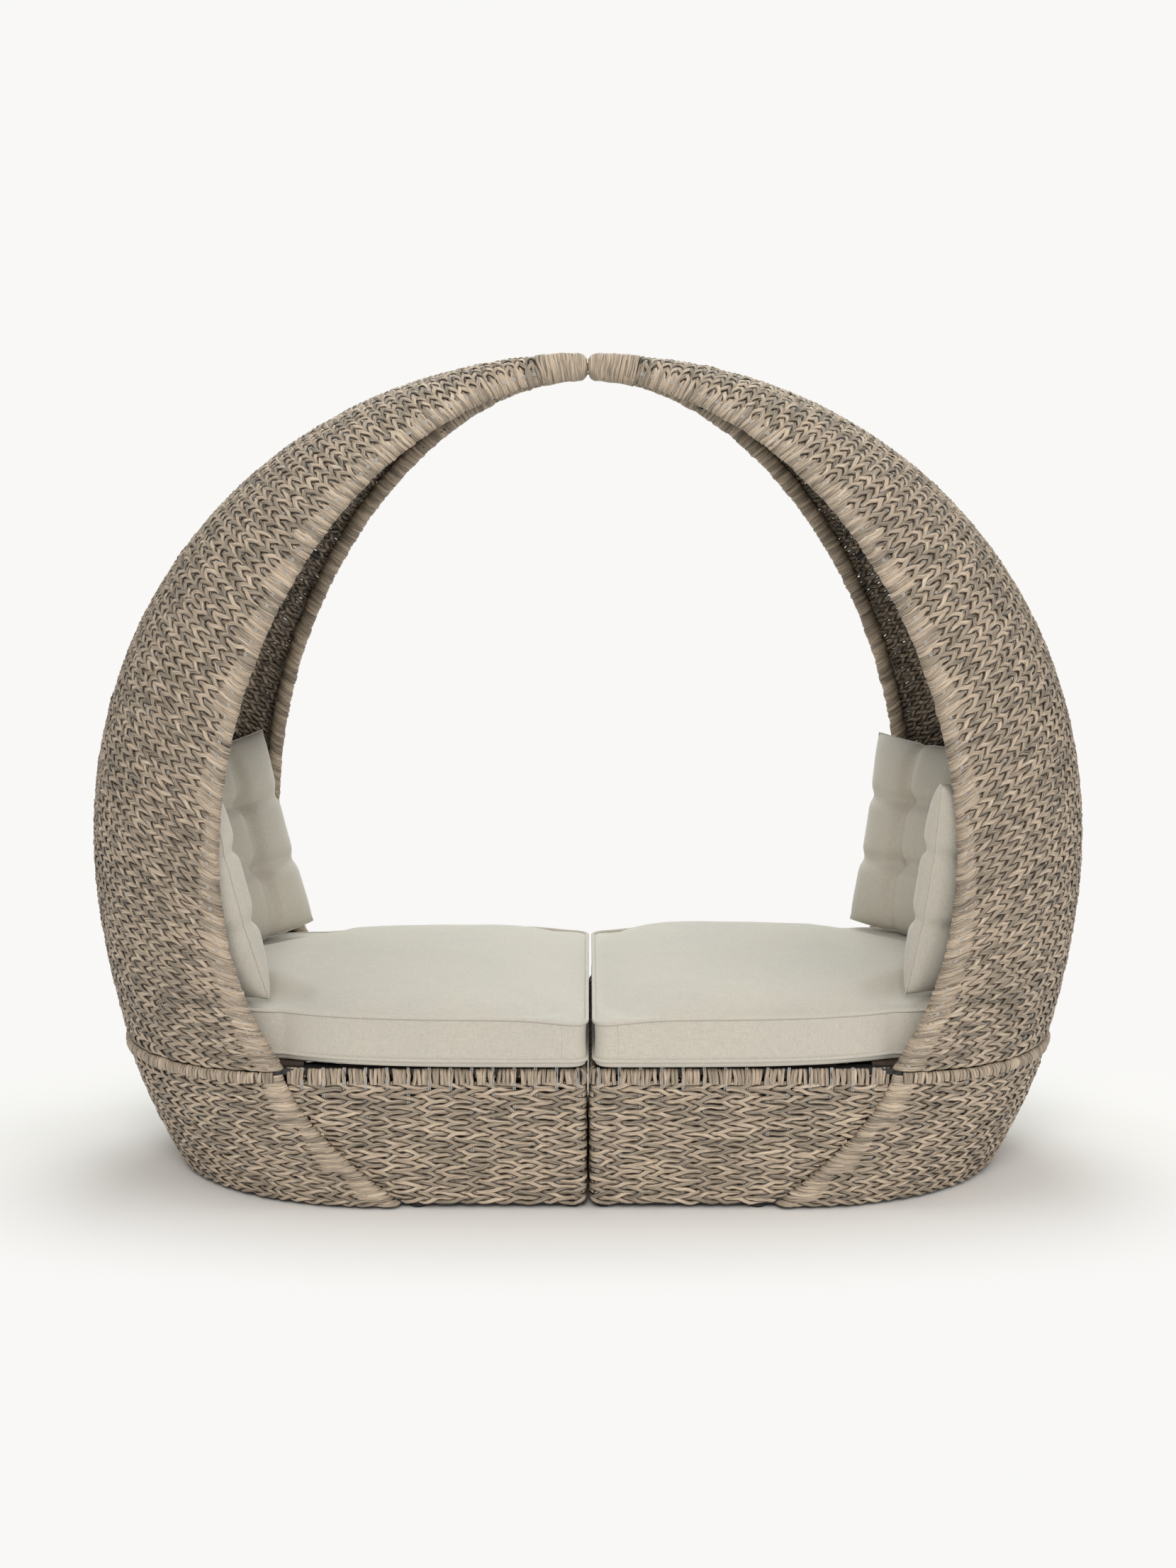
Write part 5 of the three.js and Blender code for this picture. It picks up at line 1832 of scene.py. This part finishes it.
def make_world(settings):
    """Soft light from all round, and a backdrop of the floor's colour for the camera alone"""
    world = bpy.data.worlds.new("studio")
    world.use_nodes = True
    nodes = Nodes(world.node_tree)
    ambient = nodes.tree.nodes["Background"]
    nodes.put(ambient.inputs["Color"], AMBIENT_COLOR)
    nodes.put(ambient.inputs["Strength"], AMBIENT)
    backdrop = nodes.add("ShaderNodeBackground", {"Color": (*settings.floor, 1.0)}).outputs[0]
    seen = nodes.add("ShaderNodeLightPath").outputs["Is Camera Ray"]
    blend = nodes.add("ShaderNodeMixShader", {0: seen, 1: ambient.outputs[0], 2: backdrop})
    nodes.put(nodes.tree.nodes["World Output"].inputs["Surface"], blend.outputs[0])
    bpy.context.scene.world = world
    bpy.context.scene.view_settings.view_transform = "Standard"


def make_stage(settings):
    make_camera(settings)
    make_floor(settings)
    make_lights()
    make_world(settings)


# Operators


class DAYBED_OT_stage(bpy.types.Operator):
    """Set up the camera, the pale floor and the studio light"""

    bl_idname = "daybed.stage"
    bl_label = "Stage"

    def execute(self, context):
        make_stage(context.scene.daybed_stage)
        return {"FINISHED"}


class DAYBED_OT_frame(bpy.types.Operator):
    """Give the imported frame, deck and bolts their finishes"""

    bl_idname = "daybed.frame"
    bl_label = "Frame finishes"

    def execute(self, context):
        finish_frame()
        return {"FINISHED"}


class DAYBED_OT_hoods(bpy.types.Operator):
    """Twine the woven skins of both hoods, with their stakes"""

    bl_idname = "daybed.hoods"
    bl_label = "Woven hoods"

    def execute(self, context):
        weave_hood(context.scene.daybed_strands)
        return {"FINISHED"}


class DAYBED_OT_tips(bpy.types.Operator):
    """Wind the wrapped tips of both hoods"""

    bl_idname = "daybed.tips"
    bl_label = "Wrapped tips"

    def execute(self, context):
        wrap_tips(context.scene.daybed_strands)
        return {"FINISHED"}


class DAYBED_OT_bases(bpy.types.Operator):
    """Twine the round ends of both bases"""

    bl_idname = "daybed.bases"
    bl_label = "Woven bases"

    def execute(self, context):
        weave_base(context.scene.daybed_strands)
        return {"FINISHED"}


class DAYBED_OT_panels(bpy.types.Operator):
    """Twine the flat panels of both bases"""

    bl_idname = "daybed.panels"
    bl_label = "Woven panels"

    def execute(self, context):
        weave_panels(context.scene.daybed_strands)
        return {"FINISHED"}


class DAYBED_OT_edges(bpy.types.Operator):
    """Wrap the upper edges of both bases"""

    bl_idname = "daybed.edges"
    bl_label = "Wrapped edges"

    def execute(self, context):
        wrap_edges(context.scene.daybed_strands)
        return {"FINISHED"}


class DAYBED_OT_ribs(bpy.types.Operator):
    """Make the round ribs inside both hoods"""

    bl_idname = "daybed.ribs"
    bl_label = "Hood ribs"

    def execute(self, context):
        make_ribs()
        make_tubes()
        return {"FINISHED"}


class DAYBED_OT_feet(bpy.types.Operator):
    """Make the round feet"""

    bl_idname = "daybed.feet"
    bl_label = "Feet"

    def execute(self, context):
        make_feet()
        return {"FINISHED"}


class DAYBED_OT_seats(bpy.types.Operator):
    """Sew the two seat cushions"""

    bl_idname = "daybed.seats"
    bl_label = "Seat cushions"

    def execute(self, context):
        make_seats(context.scene.daybed_cushions)
        return {"FINISHED"}


class DAYBED_OT_backs(bpy.types.Operator):
    """Sew the four tufted back cushions"""

    bl_idname = "daybed.backs"
    bl_label = "Back cushions"

    def execute(self, context):
        make_backs(context.scene.daybed_cushions)
        return {"FINISHED"}


STEPS = ("stage", "frame", "hoods", "tips", "bases", "panels", "edges", "ribs", "feet", "seats", "backs")


class DAYBED_PT_panel(bpy.types.Panel):
    """Lists the sizes, the colours and the steps"""

    bl_idname = "DAYBED_PT_panel"
    bl_label = "Cocoon daybed"
    bl_space_type = "VIEW_3D"
    bl_region_type = "UI"
    bl_category = "Daybed"

    def draw(self, context):
        scene = context.scene
        for settings in (scene.daybed_strands, scene.daybed_cushions, scene.daybed_stage):
            box = self.layout.box()
            for name in settings.__class__.__annotations__:
                box.prop(settings, name)
        for step in STEPS:
            self.layout.operator(f"daybed.{step}")


CLASSES = (
    StrandSettings,
    CushionSettings,
    StageSettings,
    DAYBED_OT_stage,
    DAYBED_OT_frame,
    DAYBED_OT_hoods,
    DAYBED_OT_tips,
    DAYBED_OT_bases,
    DAYBED_OT_panels,
    DAYBED_OT_edges,
    DAYBED_OT_ribs,
    DAYBED_OT_feet,
    DAYBED_OT_seats,
    DAYBED_OT_backs,
    DAYBED_PT_panel,
)


def register():
    for cls in CLASSES:
        bpy.utils.register_class(cls)
    bpy.types.Scene.daybed_strands = PointerProperty(type=StrandSettings)
    bpy.types.Scene.daybed_cushions = PointerProperty(type=CushionSettings)
    bpy.types.Scene.daybed_stage = PointerProperty(type=StageSettings)


def unregister():
    for name in ("daybed_stage", "daybed_cushions", "daybed_strands"):
        delattr(bpy.types.Scene, name)
    for cls in reversed(CLASSES):
        bpy.utils.unregister_class(cls)


def main():
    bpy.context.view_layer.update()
    register()
    for step in STEPS:
        getattr(bpy.ops.daybed, step)()


if __name__ == "__main__":
    main()
